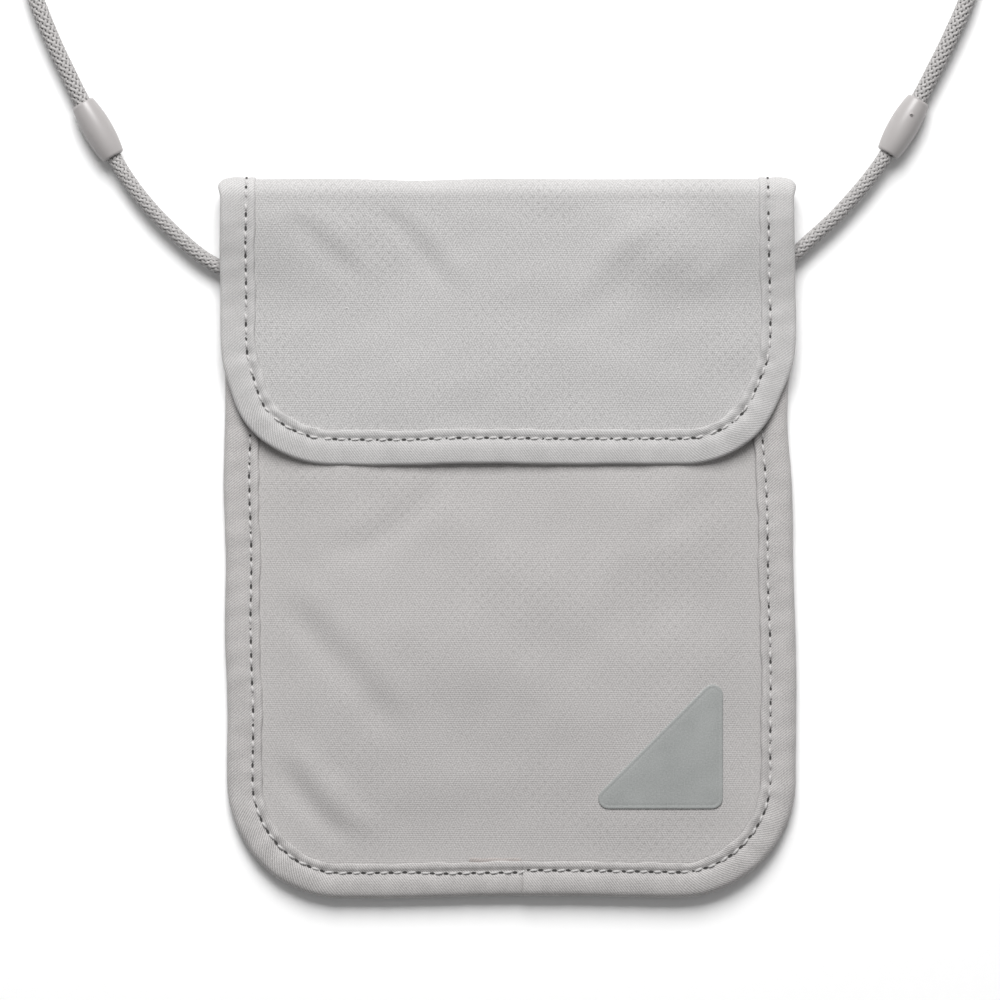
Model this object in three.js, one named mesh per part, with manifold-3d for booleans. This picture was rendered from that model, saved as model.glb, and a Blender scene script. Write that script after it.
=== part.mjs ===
// Neck pouch wallet: a flat fabric pouch with a fold-over flap, an open front pocket, a zipped rear
// pocket, taped edges and a braided neck cord that carries two barrel beads.
// Millimetres, +Z up. The pouch lies on its back: its top edge points to +Y and its front faces +Z.
// The origin is under the middle of the pouch, on the surface it lies on.
import * as THREE from 'three';
import { mergeVertices } from 'three/addons/utils/BufferGeometryUtils.js';
import Module from 'manifold-3d';

const wasm = await Module();
wasm.setup();

// ---- driving dimensions ----
const HEIGHT = 180.5;          // top fold to bottom edge
const BODY_WIDTH = 142.6;
const FLAP_WIDTH = 144;
const FLAP_BOTTOM_Y = 18.5;    // the flap's free edge
const BODY_CORNER = 28;        // rounding of the pouch's lower corners
const FLAP_CORNER = 27;        // rounding of the flap's lower corners
const BINDING_WIDTH = 8.75;    // how far the edge tape reaches in over the panels
const BINDING_WEB = 0.5;       // tape thickness round the outer edge
const GAP = 0.3;               // clearance between neighbouring solids
const CORD_RADIUS = 2;
const CORD_SIDES = 10;
const BEAD_LENGTH = 15;
const BEAD_RADIUS = 3.75;
const BEAD_END_RADIUS = 3.05;
const BEAD_BORE = 2.45;

// Layers from the resting surface up, each as [bottom, top].
const BACK_TAPE = [0, 0.4];
const BACK_PANEL = [0.6, 1.1];
const BACK_LINING = [1.3, 1.6];
const ZIP_TAPE = [2.1, 2.4];
const MIDDLE_PANEL = [2.6, 3.0];
const FRONT_PANEL = [7.7, 8.2];
const FRONT_TAPE = [8.4, 8.8];
const PATCH = [8.4, 9.0];
const LOOP_PATCH = [8.4, 8.7];
const HOOK_PATCH = [9.0, 9.5];
const FLAP_UNDER_TAPE = [9.2, 9.5];
const FLAP_LINING = [9.7, 10.0];
const FLAP_OUTER = [10.2, 10.6];
const FLAP_OVER_TAPE = [10.8, 11.1];

const TOP_Y = HEIGHT / 2;
const BOTTOM_Y = -HEIGHT / 2;

// The flap turns about the middle of the fold at the top edge.
const FOLD_Z = (BACK_PANEL[0] + FLAP_OUTER[1]) / 2;
const FOLD_RADIUS = (FLAP_OUTER[1] - BACK_PANEL[0]) / 2;
const FOLD_Y = TOP_Y - FOLD_RADIUS;
const PANEL_TOP_Y = FOLD_Y - GAP;

// Rear pocket zip, running across the pouch just under the fold.
const ZIP_Y = 75;
const ZIP_PANEL_OPENING = 9;   // gap between the panels that the zip closes
const ZIP_TAPE_REACH = 8.5;    // how far each tape reaches from the zip's middle
const ZIP_HALF_GAP = 0.9;
const COIL_WIDTH = 1.6;
const COIL_Z = [2.6, 3.3];
const COIL_X = [-54, 58];
const STOP_LENGTH = 2;
const SLIDER_X = 52;           // the slider's rest place, at the closed end
const SLIDER_LENGTH = 9;
const SLIDER_WIDTH = 7.6;
const PULL_LENGTH = 15;
const PULL_WIDTH = 5;

const POCKET_MOUTH_Y = 60;
const LINING_TOP_Y = 62;
const SEAM_ROOM_Y = 59;        // above this the inner layers stop short of the side seams' cord ends
const SEAM_ROOM_X = 61.5;

// Neck cord: each route runs from the stitched end in the side seam, through its bead, to the hank.
const LEFT_ROUTE = [
  [-69.0, 66.5, 3.4], [-71.4, 67.7, 3.4], [-75.2, 69.8, 3.45], [-78.6, 72.3, 3.5],
  [-84.1, 77.3, 3.6], [-89.0, 82.3, 3.7], [-93.4, 87.7, 3.75], [-96.8, 92.7, 3.75],
  [-99.8, 97.8, 3.75], [-102.6, 102.5, 3.75], [-105.3, 107.3, 3.75], [-107.9, 112.1, 3.75],
  [-110.3, 117.1, 3.75], [-112.7, 122.0, 3.75], [-114.7, 126.6, 3.75], [-116.6, 131.2, 3.75],
  [-119.0, 138.0, 3.3], [-119.9, 145.5, 2.6], [-117.6, 152.9, 2.2], [-112.4, 158.9, 2.1],
  [-105.0, 162.6, 2.1], [-96.0, 163.8, 2.1], [-84.0, 163.8, 2.2], [-66.0, 163.8, 2.8],
  [-49.3, 163.8, 2.9],
];
const RIGHT_ROUTE = [
  [69.3, 68.8, 3.4], [71.9, 71.2, 3.4], [75.7, 74.8, 3.45], [81.2, 79.8, 3.5],
  [85.9, 84.8, 3.6], [90.0, 89.6, 3.75], [93.3, 94.0, 3.75], [96.3, 98.5, 3.75],
  [99.1, 103.3, 3.75], [101.9, 108.1, 3.75], [104.5, 112.9, 3.75], [107.0, 117.8, 3.75],
  [109.5, 122.7, 3.75], [111.6, 127.2, 3.75], [113.7, 131.8, 3.75], [116.2, 138.5, 3.2],
  [117.2, 146.0, 2.5], [114.9, 153.2, 2.2], [109.6, 159.1, 2.1], [102.2, 162.7, 2.1],
  [93.0, 163.8, 2.4], [82.0, 163.8, 3.6], [70.0, 163.8, 5.6], [60.0, 163.8, 6.9],
  [49.3, 163.8, 7.1],
];
const LEFT_BEAD_AT = new THREE.Vector3(-102.6, 102.5, 3.75);
const RIGHT_BEAD_AT = new THREE.Vector3(99.1, 103.3, 3.75);
const TUBE_STEPS = 24;

// Hank: three turns of the unused cord, side by side and in two layers, held by a band.
const HANK_RUN = 69;           // straight run between the two round ends
const HANK_INNER = 13;
const HANK_OUTER = 17.2;
const HANK_Y = 181;
const HANK_Z = [0.9, 9.1];
const HANK_SPUR_X = 49;        // where each loose run joins the hank
const BAND_WIDTH = 12;
const BAND_THICKNESS = 0.5;

const WHIPPING_LENGTH = 6.5;

// ---- materials ----
const material = (colour, roughness, metalness = 0) =>
  new THREE.MeshStandardMaterial({ color: colour, roughness, metalness });
const FABRIC = material(0xbcb9b6, 0.85);
const LINING = material(0xa9a9a8, 0.6);
const TAPE = material(0xb5b1ae, 0.8);
const PATCH_RUBBER = material(0x969d9a, 0.55);
const BRAID = material(0xa8a3a1, 0.9);
const BEAD_PLASTIC = material(0xb2aca9, 0.4);
const COIL_NYLON = material(0x9a9896, 0.5);
const SLIDER_METAL = material(0x8f8f92, 0.35, 1);
const HOOK_NYLON = material(0xa3a09e, 0.95);

const pouch = new THREE.Group();

function place(name, geometry, look, parent = pouch) {
  const mesh = new THREE.Mesh(geometry, look);
  mesh.name = name;
  parent.add(mesh);
  return mesh;
}

// ---- shape helpers ----
function slab(shape, [bottom, top], curveSegments = 8) {
  const geometry = new THREE.ExtrudeGeometry(shape, { depth: top - bottom, bevelEnabled: false, curveSegments });
  return geometry.translate(0, 0, bottom);
}

// A panel outline with a straight top and rounded lower corners.
function pouchOutline(halfWidth, bottomY, topY, corner) {
  const shape = new THREE.Shape();
  shape.moveTo(-halfWidth, topY);
  shape.lineTo(-halfWidth, bottomY + corner);
  shape.absarc(-halfWidth + corner, bottomY + corner, corner, Math.PI, Math.PI * 1.5, false);
  shape.lineTo(halfWidth - corner, bottomY);
  shape.absarc(halfWidth - corner, bottomY + corner, corner, -Math.PI / 2, 0, false);
  shape.lineTo(halfWidth, topY);
  return shape;
}

function roundedRectangle(x0, y0, x1, y1, radius) {
  const shape = new THREE.Shape();
  shape.moveTo(x0 + radius, y0);
  shape.lineTo(x1 - radius, y0);
  shape.absarc(x1 - radius, y0 + radius, radius, -Math.PI / 2, 0, false);
  shape.lineTo(x1, y1 - radius);
  shape.absarc(x1 - radius, y1 - radius, radius, 0, Math.PI / 2, false);
  shape.lineTo(x0 + radius, y1);
  shape.absarc(x0 + radius, y1 - radius, radius, Math.PI / 2, Math.PI, false);
  shape.lineTo(x0, y0 + radius);
  shape.absarc(x0 + radius, y0 + radius, radius, Math.PI, Math.PI * 1.5, false);
  return shape;
}

// A shape drawn in (y, z) and run along X from x0 to x1.
function alongX(shape, x0, x1, curveSegments = 8) {
  const geometry = new THREE.ExtrudeGeometry(shape, { depth: x1 - x0, bevelEnabled: false, curveSegments });
  const basis = new THREE.Matrix4().makeBasis(
    new THREE.Vector3(0, 1, 0), new THREE.Vector3(0, 0, 1), new THREE.Vector3(1, 0, 0));
  return geometry.applyMatrix4(basis).translate(x0, 0, 0);
}

// A shape drawn in (x, z) and run along Y from y0 to y1.
function alongY(shape, y0, y1, curveSegments = 6) {
  const geometry = new THREE.ExtrudeGeometry(shape, { depth: y1 - y0, bevelEnabled: false, curveSegments });
  const basis = new THREE.Matrix4().makeBasis(
    new THREE.Vector3(1, 0, 0), new THREE.Vector3(0, 0, 1), new THREE.Vector3(0, -1, 0));
  return geometry.applyMatrix4(basis).translate(0, y1, 0);
}

function box(x0, x1, y0, y1, z0, z1) {
  const geometry = new THREE.BoxGeometry(x1 - x0, y1 - y0, z1 - z0);
  return geometry.translate((x0 + x1) / 2, (y0 + y1) / 2, (z0 + z1) / 2);
}

function toSolid(geometry) {
  const bare = geometry.clone();
  bare.deleteAttribute('normal');
  bare.deleteAttribute('uv');
  const merged = mergeVertices(bare, 1e-4);
  return new wasm.Manifold(new wasm.Mesh({
    numProp: 3,
    vertProperties: new Float32Array(merged.attributes.position.array),
    triVerts: new Uint32Array(merged.index.array),
  }));
}

function toGeometry(solid) {
  const mesh = solid.getMesh();
  const geometry = new THREE.BufferGeometry();
  geometry.setAttribute('position', new THREE.BufferAttribute(new Float32Array(mesh.vertProperties), 3));
  geometry.setIndex(new THREE.BufferAttribute(new Uint32Array(mesh.triVerts), 1));
  geometry.computeVertexNormals();
  return geometry;
}

const joined = (...geometries) => geometries.map(toSolid).reduce((a, b) => a.add(b));

// ---- cord curves ----
const curveThrough = (route) =>
  new THREE.CatmullRomCurve3(route.map((p) => new THREE.Vector3(...p)), false, 'centripetal');

const circleOf = (radius, sides) => {
  const shape = new THREE.Shape();
  for (let i = 0; i < sides; i += 1) {
    const angle = (i / sides) * Math.PI * 2;
    const point = [radius * Math.cos(angle), radius * Math.sin(angle)];
    if (i === 0) shape.moveTo(...point);
    else shape.lineTo(...point);
  }
  shape.closePath();
  return shape;
};

function cordTube(route) {
  return new THREE.ExtrudeGeometry(circleOf(CORD_RADIUS, CORD_SIDES), {
    steps: TUBE_STEPS, bevelEnabled: false, extrudePath: curveThrough(route) });
}

// The curve's direction where it passes closest to a point.
function directionNear(route, point) {
  const curve = curveThrough(route);
  const samples = 800;
  let nearest = 0;
  let least = Infinity;
  for (let i = 0; i <= samples; i += 1) {
    const distance = curve.getPointAt(i / samples).distanceTo(point);
    if (distance < least) {
      least = distance;
      nearest = i / samples;
    }
  }
  return curve.getTangentAt(nearest);
}

// ---- edge tape: a C-shaped channel that follows an outline and closes over the panels' edges ----
function tapeChannel(halfWidth, bottomY, corner, [bottom, lowerTop], [upperBottom, top]) {
  const outline = (inset, topY) =>
    pouchOutline(halfWidth - inset, bottomY + inset, topY, corner - inset);
  const past = PANEL_TOP_Y + 1;
  return toSolid(slab(outline(0, PANEL_TOP_Y), [bottom, top]))
    .subtract(toSolid(slab(outline(BINDING_WEB, past), [lowerTop, upperBottom])))
    .subtract(toSolid(slab(outline(BINDING_WIDTH, past), [bottom - 1, top + 1])));
}

// ---- pouch body ----
function bodyPanels() {
  const inset = BINDING_WEB + GAP;
  const half = BODY_WIDTH / 2 - inset;
  const low = BOTTOM_Y + inset;
  const corner = BODY_CORNER - inset;
  place('back_panel', slab(pouchOutline(half, low, PANEL_TOP_Y, corner), BACK_PANEL), FABRIC);
  place('back_lining', slab(pouchOutline(half, low, LINING_TOP_Y, corner), BACK_LINING), LINING);
  const middleTop = ZIP_Y - ZIP_PANEL_OPENING / 2;
  const middle = pouchOutline(half, low, SEAM_ROOM_Y, corner);
  middle.lineTo(SEAM_ROOM_X, SEAM_ROOM_Y);
  middle.lineTo(SEAM_ROOM_X, middleTop);
  middle.lineTo(-SEAM_ROOM_X, middleTop);
  middle.lineTo(-SEAM_ROOM_X, SEAM_ROOM_Y);
  place('middle_panel', slab(middle, MIDDLE_PANEL), FABRIC);
  const stripLow = ZIP_Y + ZIP_PANEL_OPENING / 2;
  place('zip_top_strip', box(-half, half, stripLow, PANEL_TOP_Y, ...MIDDLE_PANEL), FABRIC);
  const frontTop = POCKET_MOUTH_Y - 2.5;
  place('front_panel', slab(pouchOutline(half, low, frontTop, corner), FRONT_PANEL), FABRIC);
  const hem = roundedRectangle(frontTop + GAP, FRONT_PANEL[0], POCKET_MOUTH_Y, FRONT_PANEL[1] + 0.6, 0.45);
  const hemHalf = BODY_WIDTH / 2 - BINDING_WIDTH - GAP;
  place('pocket_mouth_hem', alongX(hem, -hemHalf, hemHalf, 3), TAPE);
}

function bodyBinding() {
  const channel = tapeChannel(BODY_WIDTH / 2, BOTTOM_Y, BODY_CORNER, BACK_TAPE, FRONT_TAPE);
  const holes = [LEFT_ROUTE, RIGHT_ROUTE].map((route) => {
    const inner = new THREE.Vector3(...route[0]);
    const along = new THREE.Vector3(...route[1]).sub(inner).normalize();
    const drill = new THREE.CylinderGeometry(CORD_RADIUS + 0.4, CORD_RADIUS + 0.4, 9, 16);
    drill.applyQuaternion(new THREE.Quaternion().setFromUnitVectors(new THREE.Vector3(0, 1, 0), along));
    return toSolid(drill.translate(...inner.addScaledVector(along, 2).toArray()));
  });
  place('body_binding', toGeometry(channel.subtract(holes[0]).subtract(holes[1])), TAPE);
}

// A right triangle with rounded corners, its right angle at the lower right.
function cornerPatch() {
  const right = 53.9;
  const low = -67.6;
  const leg = 34.9;            // before its corners are rounded
  const corner = 2.6;
  const reach = corner * (1 + Math.SQRT2);
  const shape = new THREE.Shape();
  shape.moveTo(right - leg + reach, low);
  shape.lineTo(right - corner, low);
  shape.absarc(right - corner, low + corner, corner, -Math.PI / 2, 0, false);
  shape.lineTo(right, low + leg - reach);
  shape.absarc(right - corner, low + leg - reach, corner, 0, Math.PI * 0.75, false);
  shape.lineTo(right - leg + reach - corner * Math.SQRT1_2, low + corner * (1 + Math.SQRT1_2));
  shape.absarc(right - leg + reach, low + corner, corner, Math.PI * 0.75, Math.PI * 1.5, false);
  place('corner_patch', slab(shape, PATCH, 5), PATCH_RUBBER);
}

function hookAndLoop(flap) {
  const patch = roundedRectangle(-20, FLAP_BOTTOM_Y + 11.5, 20, FLAP_BOTTOM_Y + 25.5, 2);
  place('loop_patch', slab(patch, LOOP_PATCH, 3), HOOK_NYLON);
  place('hook_patch', slab(patch, HOOK_PATCH, 3), HOOK_NYLON, flap);
}

// ---- zip ----
function zip() {
  for (const [word, side] of [['upper', 1], ['lower', -1]]) {
    const across = (a, b) => [ZIP_Y + side * a, ZIP_Y + side * b].sort((p, q) => p - q);
    const tape = box(-SEAM_ROOM_X, SEAM_ROOM_X, ...across(ZIP_HALF_GAP, ZIP_TAPE_REACH), ...ZIP_TAPE);
    place(`zip_tape_${word}`, tape, TAPE);
    const [y0, y1] = across(ZIP_HALF_GAP, ZIP_HALF_GAP + COIL_WIDTH);
    const coil = roundedRectangle(y0, COIL_Z[0], y1, COIL_Z[1], 0.3);
    place(`zip_coil_${word}`, alongX(coil, ...COIL_X, 3), COIL_NYLON);
    const stopX = COIL_X[1] + GAP;
    const stop = roundedRectangle(y0, COIL_Z[0], y1, COIL_Z[1] + 0.4, 0.3);
    place(`zip_top_stop_${word}`, alongX(stop, stopX, stopX + STOP_LENGTH, 3), SLIDER_METAL);
  }
  const reach = ZIP_HALF_GAP + COIL_WIDTH;
  const end = COIL_X[0] - GAP;
  place('zip_bottom_stop', box(end - STOP_LENGTH, end, ZIP_Y - reach, ZIP_Y + reach, 2.7, 3.7), SLIDER_METAL);
}

const PLATE_TOP = 4.1;
const PULL_Z = [PLATE_TOP + 0.3, PLATE_TOP + 1.1];

function zipSlider() {
  const halfLength = SLIDER_LENGTH / 2;
  const halfWidth = SLIDER_WIDTH / 2;
  const plate = roundedRectangle(
    SLIDER_X - halfLength, ZIP_Y - halfWidth, SLIDER_X + halfLength, ZIP_Y + halfWidth, 1.8);
  const post = box(SLIDER_X + 1.5, SLIDER_X + 4, ZIP_Y - 0.4, ZIP_Y + 0.4, 1.4, PLATE_TOP - 0.1);
  const arch = roundedRectangle(SLIDER_X - 2.6, PLATE_TOP - 0.2, SLIDER_X + 2.6, PLATE_TOP + 2.2, 0.6);
  arch.holes.push(roundedRectangle(SLIDER_X - 1.6, PLATE_TOP, SLIDER_X + 1.6, PLATE_TOP + 1.4, 0.3));
  const solid = joined(
    slab(plate, [3.6, PLATE_TOP], 4), slab(plate, [1.3, 1.8], 4), post, alongY(arch, ZIP_Y - 0.8, ZIP_Y + 0.8, 3));
  place('zip_slider', toGeometry(solid), SLIDER_METAL);

  const tab = roundedRectangle(
    SLIDER_X + 0.4 - PULL_LENGTH, ZIP_Y - PULL_WIDTH / 2, SLIDER_X + 0.4, ZIP_Y + PULL_WIDTH / 2, 0.38);
  tab.holes.push(roundedRectangle(SLIDER_X - 3.6, ZIP_Y - 1.25, SLIDER_X - 0.4, ZIP_Y + 1.25, 0.2));
  place('zip_pull', slab(tab, PULL_Z, 3), SLIDER_METAL);
}

// ---- flap ----
function flapPanels(flap) {
  const inset = BINDING_WEB + GAP;
  const outline = pouchOutline(
    FLAP_WIDTH / 2 - inset, FLAP_BOTTOM_Y + inset, PANEL_TOP_Y, FLAP_CORNER - inset);
  place('flap_lining', slab(outline, FLAP_LINING), LINING, flap);
  place('flap_outer', slab(outline, FLAP_OUTER), FABRIC, flap);
  const channel = tapeChannel(
    FLAP_WIDTH / 2, FLAP_BOTTOM_Y, FLAP_CORNER, FLAP_UNDER_TAPE, FLAP_OVER_TAPE);
  place('flap_binding', toGeometry(channel), TAPE, flap);
}

// The outer fabric's turn at the top edge, from the back panel up to the flap.
function flapFold() {
  const thickness = FLAP_OUTER[1] - FLAP_OUTER[0];
  const turn = new THREE.Shape();
  turn.moveTo(FOLD_Y, FOLD_Z - FOLD_RADIUS);
  turn.absarc(FOLD_Y, FOLD_Z, FOLD_RADIUS, -Math.PI / 2, Math.PI / 2, false);
  turn.lineTo(FOLD_Y, FOLD_Z + FOLD_RADIUS - thickness);
  turn.absarc(FOLD_Y, FOLD_Z, FOLD_RADIUS - thickness, Math.PI / 2, -Math.PI / 2, true);
  place('flap_fold', alongX(turn, -FLAP_WIDTH / 2, FLAP_WIDTH / 2, 10), FABRIC);
}

// ---- beads and cord ----
function bead(name, route, centre) {
  const half = BEAD_LENGTH / 2;
  const points = [[BEAD_BORE, -half], [BEAD_END_RADIUS - 0.25, -half], [BEAD_END_RADIUS, -half + 0.3]];
  const steps = 8;
  for (let i = 1; i < steps; i += 1) {
    const along = -1 + (2 * i) / steps;
    const radius = BEAD_RADIUS - (BEAD_RADIUS - BEAD_END_RADIUS) * along * along;
    points.push([radius, along * (half - 0.3)]);
  }
  points.push([BEAD_END_RADIUS, half - 0.3], [BEAD_END_RADIUS - 0.25, half], [BEAD_BORE, half]);
  points.push(points[0]);
  const geometry = new THREE.LatheGeometry(points.map((p) => new THREE.Vector2(...p)), 20);
  const mesh = place(name, geometry, BEAD_PLASTIC);
  const up = new THREE.Vector3(0, 1, 0);
  mesh.quaternion.setFromUnitVectors(up, directionNear(route, centre).setZ(0).normalize());
  mesh.position.copy(centre);
}

// The cord's thread-wrapped end, sewn into the side seam.
function whipping(name, route) {
  const start = new THREE.Vector3(...route[0]);
  const inward = start.clone().sub(new THREE.Vector3(...route[1])).normalize();
  const mesh = place(name, new THREE.CylinderGeometry(CORD_RADIUS, CORD_RADIUS, WHIPPING_LENGTH, 12), BRAID);
  mesh.quaternion.setFromUnitVectors(new THREE.Vector3(0, 1, 0), inward);
  mesh.position.copy(start.addScaledVector(inward, GAP + WHIPPING_LENGTH / 2));
}

function racetrack(path, run, radius, y) {
  path.moveTo(-run / 2, y - radius);
  path.lineTo(run / 2, y - radius);
  path.absarc(run / 2, y, radius, -Math.PI / 2, Math.PI / 2, false);
  path.lineTo(-run / 2, y + radius);
  path.absarc(-run / 2, y, radius, Math.PI / 2, Math.PI * 1.5, false);
  return path;
}

function hank() {
  const outline = racetrack(new THREE.Shape(), HANK_RUN, HANK_OUTER + CORD_RADIUS, HANK_Y);
  outline.holes.push(racetrack(new THREE.Path(), HANK_RUN, HANK_INNER - CORD_RADIUS, HANK_Y));
  const lowY = HANK_Y - HANK_OUTER - CORD_RADIUS;
  const spurY = [lowY, lowY + 2 * CORD_RADIUS];
  const layer = 2 * CORD_RADIUS;
  const solid = joined(
    slab(outline, HANK_Z, 10),
    box(-HANK_SPUR_X, -HANK_RUN / 2, ...spurY, HANK_Z[0], HANK_Z[0] + layer),
    box(HANK_RUN / 2, HANK_SPUR_X, ...spurY, HANK_Z[1] - layer, HANK_Z[1]));
  place('cord_hank', toGeometry(solid), BRAID);

  const reach = HANK_OUTER + CORD_RADIUS + GAP;
  const [low, high] = [HANK_Z[0] - GAP, HANK_Z[1] + GAP];
  const ring = roundedRectangle(
    HANK_Y - reach - BAND_THICKNESS, low - BAND_THICKNESS, HANK_Y + reach + BAND_THICKNESS,
    high + BAND_THICKNESS, 0.8);
  ring.holes.push(roundedRectangle(HANK_Y - reach, low, HANK_Y + reach, high, 0.3));
  place('hank_band', alongX(ring, -BAND_WIDTH / 2, BAND_WIDTH / 2, 4), TAPE);
}

bodyPanels();
bodyBinding();
cornerPatch();
zip();
zipSlider();
const flap = new THREE.Group();
pouch.add(flap);
flapPanels(flap);
hookAndLoop(flap);
flapFold();
bead('bead_left', LEFT_ROUTE, LEFT_BEAD_AT);
bead('bead_right', RIGHT_ROUTE, RIGHT_BEAD_AT);
whipping('cord_whipping_left', LEFT_ROUTE);
whipping('cord_whipping_right', RIGHT_ROUTE);
place('neck_cord_left', cordTube(LEFT_ROUTE), BRAID);
place('neck_cord_right', cordTube(RIGHT_ROUTE), BRAID);
hank();

export default pouch;
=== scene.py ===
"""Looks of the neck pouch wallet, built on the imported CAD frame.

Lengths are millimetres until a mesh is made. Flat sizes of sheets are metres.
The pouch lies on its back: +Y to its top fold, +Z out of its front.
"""
import bpy
import math
import random
import numpy as np
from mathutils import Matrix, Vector


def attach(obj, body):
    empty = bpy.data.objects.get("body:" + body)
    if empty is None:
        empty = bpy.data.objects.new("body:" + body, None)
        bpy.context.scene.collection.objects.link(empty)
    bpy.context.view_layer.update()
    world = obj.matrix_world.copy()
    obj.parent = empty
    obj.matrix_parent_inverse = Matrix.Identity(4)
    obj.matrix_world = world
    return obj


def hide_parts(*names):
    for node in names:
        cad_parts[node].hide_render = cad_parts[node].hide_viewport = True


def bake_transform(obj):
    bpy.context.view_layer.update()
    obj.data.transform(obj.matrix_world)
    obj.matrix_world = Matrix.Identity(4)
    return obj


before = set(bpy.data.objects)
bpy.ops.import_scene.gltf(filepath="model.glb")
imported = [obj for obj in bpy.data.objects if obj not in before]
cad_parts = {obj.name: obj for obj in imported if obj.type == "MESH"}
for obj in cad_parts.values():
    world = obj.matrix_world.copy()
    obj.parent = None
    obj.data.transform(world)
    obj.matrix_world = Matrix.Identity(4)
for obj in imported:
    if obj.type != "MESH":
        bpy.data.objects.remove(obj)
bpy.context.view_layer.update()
random.seed(7)
TAU = 2 * math.pi
MM = 0.001
UP = np.array([0, 0, 1.0])

# ---- main sizes, mm ----
TOP_SEAM_Y = 84.5          # where the flap and back hand over to the fold piece
FOLD_CENTRE_Y = 85.7
FOLD_TOP_Z = 9.5
FOLD_BOTTOM_Z = 0.6
BODY_BOTTOM_Y = -89.9
BODY_CORNER = 29.0
FLAP_BOTTOM_Y = 18.6
FLAP_CORNER = 27.5
TAPE_WIDTH = 8.75
STITCH_IN = 6.5            # distance of the stitch row from the tape's outer edge
STITCH_PITCH = 3.45
STITCH_LENGTH = 2.1
TAPE_JOIN_X = 3.9
POCKET_MOUTH_Y = 57.5
FABRIC_EDGE_Z = 2.9        # the front panel's height where the tape holds it
FABRIC_RISE = 4.6          # how much higher its middle is
PANEL_CLOTH = 0.45         # cloth thicknesses
FLAP_CLOTH = 0.4
MIDDLE_CLOTH = 0.35
LINING = 0.2


# ---- camera and light ----
def linked(name, data):
    """A new object in the scene."""
    thing = bpy.data.objects.new(name, data)
    bpy.context.scene.collection.objects.link(thing)
    return thing


def make_camera():
    """Straight above, from far away."""
    distance = 2.0
    view_width = 0.25
    camera = bpy.data.cameras.new("camera")
    camera.sensor_width = 36
    camera.lens = camera.sensor_width * distance / view_width
    camera.clip_end = 20
    holder = linked("camera", camera)
    holder.location = (-0.0019, 0.00975, 0.0075 + distance)
    bpy.context.scene.camera = holder


def area_light(name, place, size, power):
    """A square white light that faces the origin."""
    light = bpy.data.lights.new(name, "AREA")
    light.shape = "SQUARE"
    light.size = size
    light.energy = power
    holder = linked(name, light)
    holder.location = place
    holder.rotation_euler = (-Vector(place)).to_track_quat("-Z", "Y").to_euler()


def make_light():
    world = bpy.data.worlds.new("studio")
    world.use_nodes = True
    background = world.node_tree.nodes["Background"]
    background.inputs["Color"].default_value = (1, 1, 1, 1)
    background.inputs["Strength"].default_value = 0.19
    bpy.context.scene.world = world
    area_light("key", (-0.05, 1.0, 1.02), 0.85, 29)
    area_light("top", (0.1, 0.1, 1.6), 1.0, 1.5)
    view = bpy.context.scene.view_settings
    view.view_transform = "Standard"
    view.look = "None"
    view.exposure = 0
    view.gamma = 1


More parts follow.
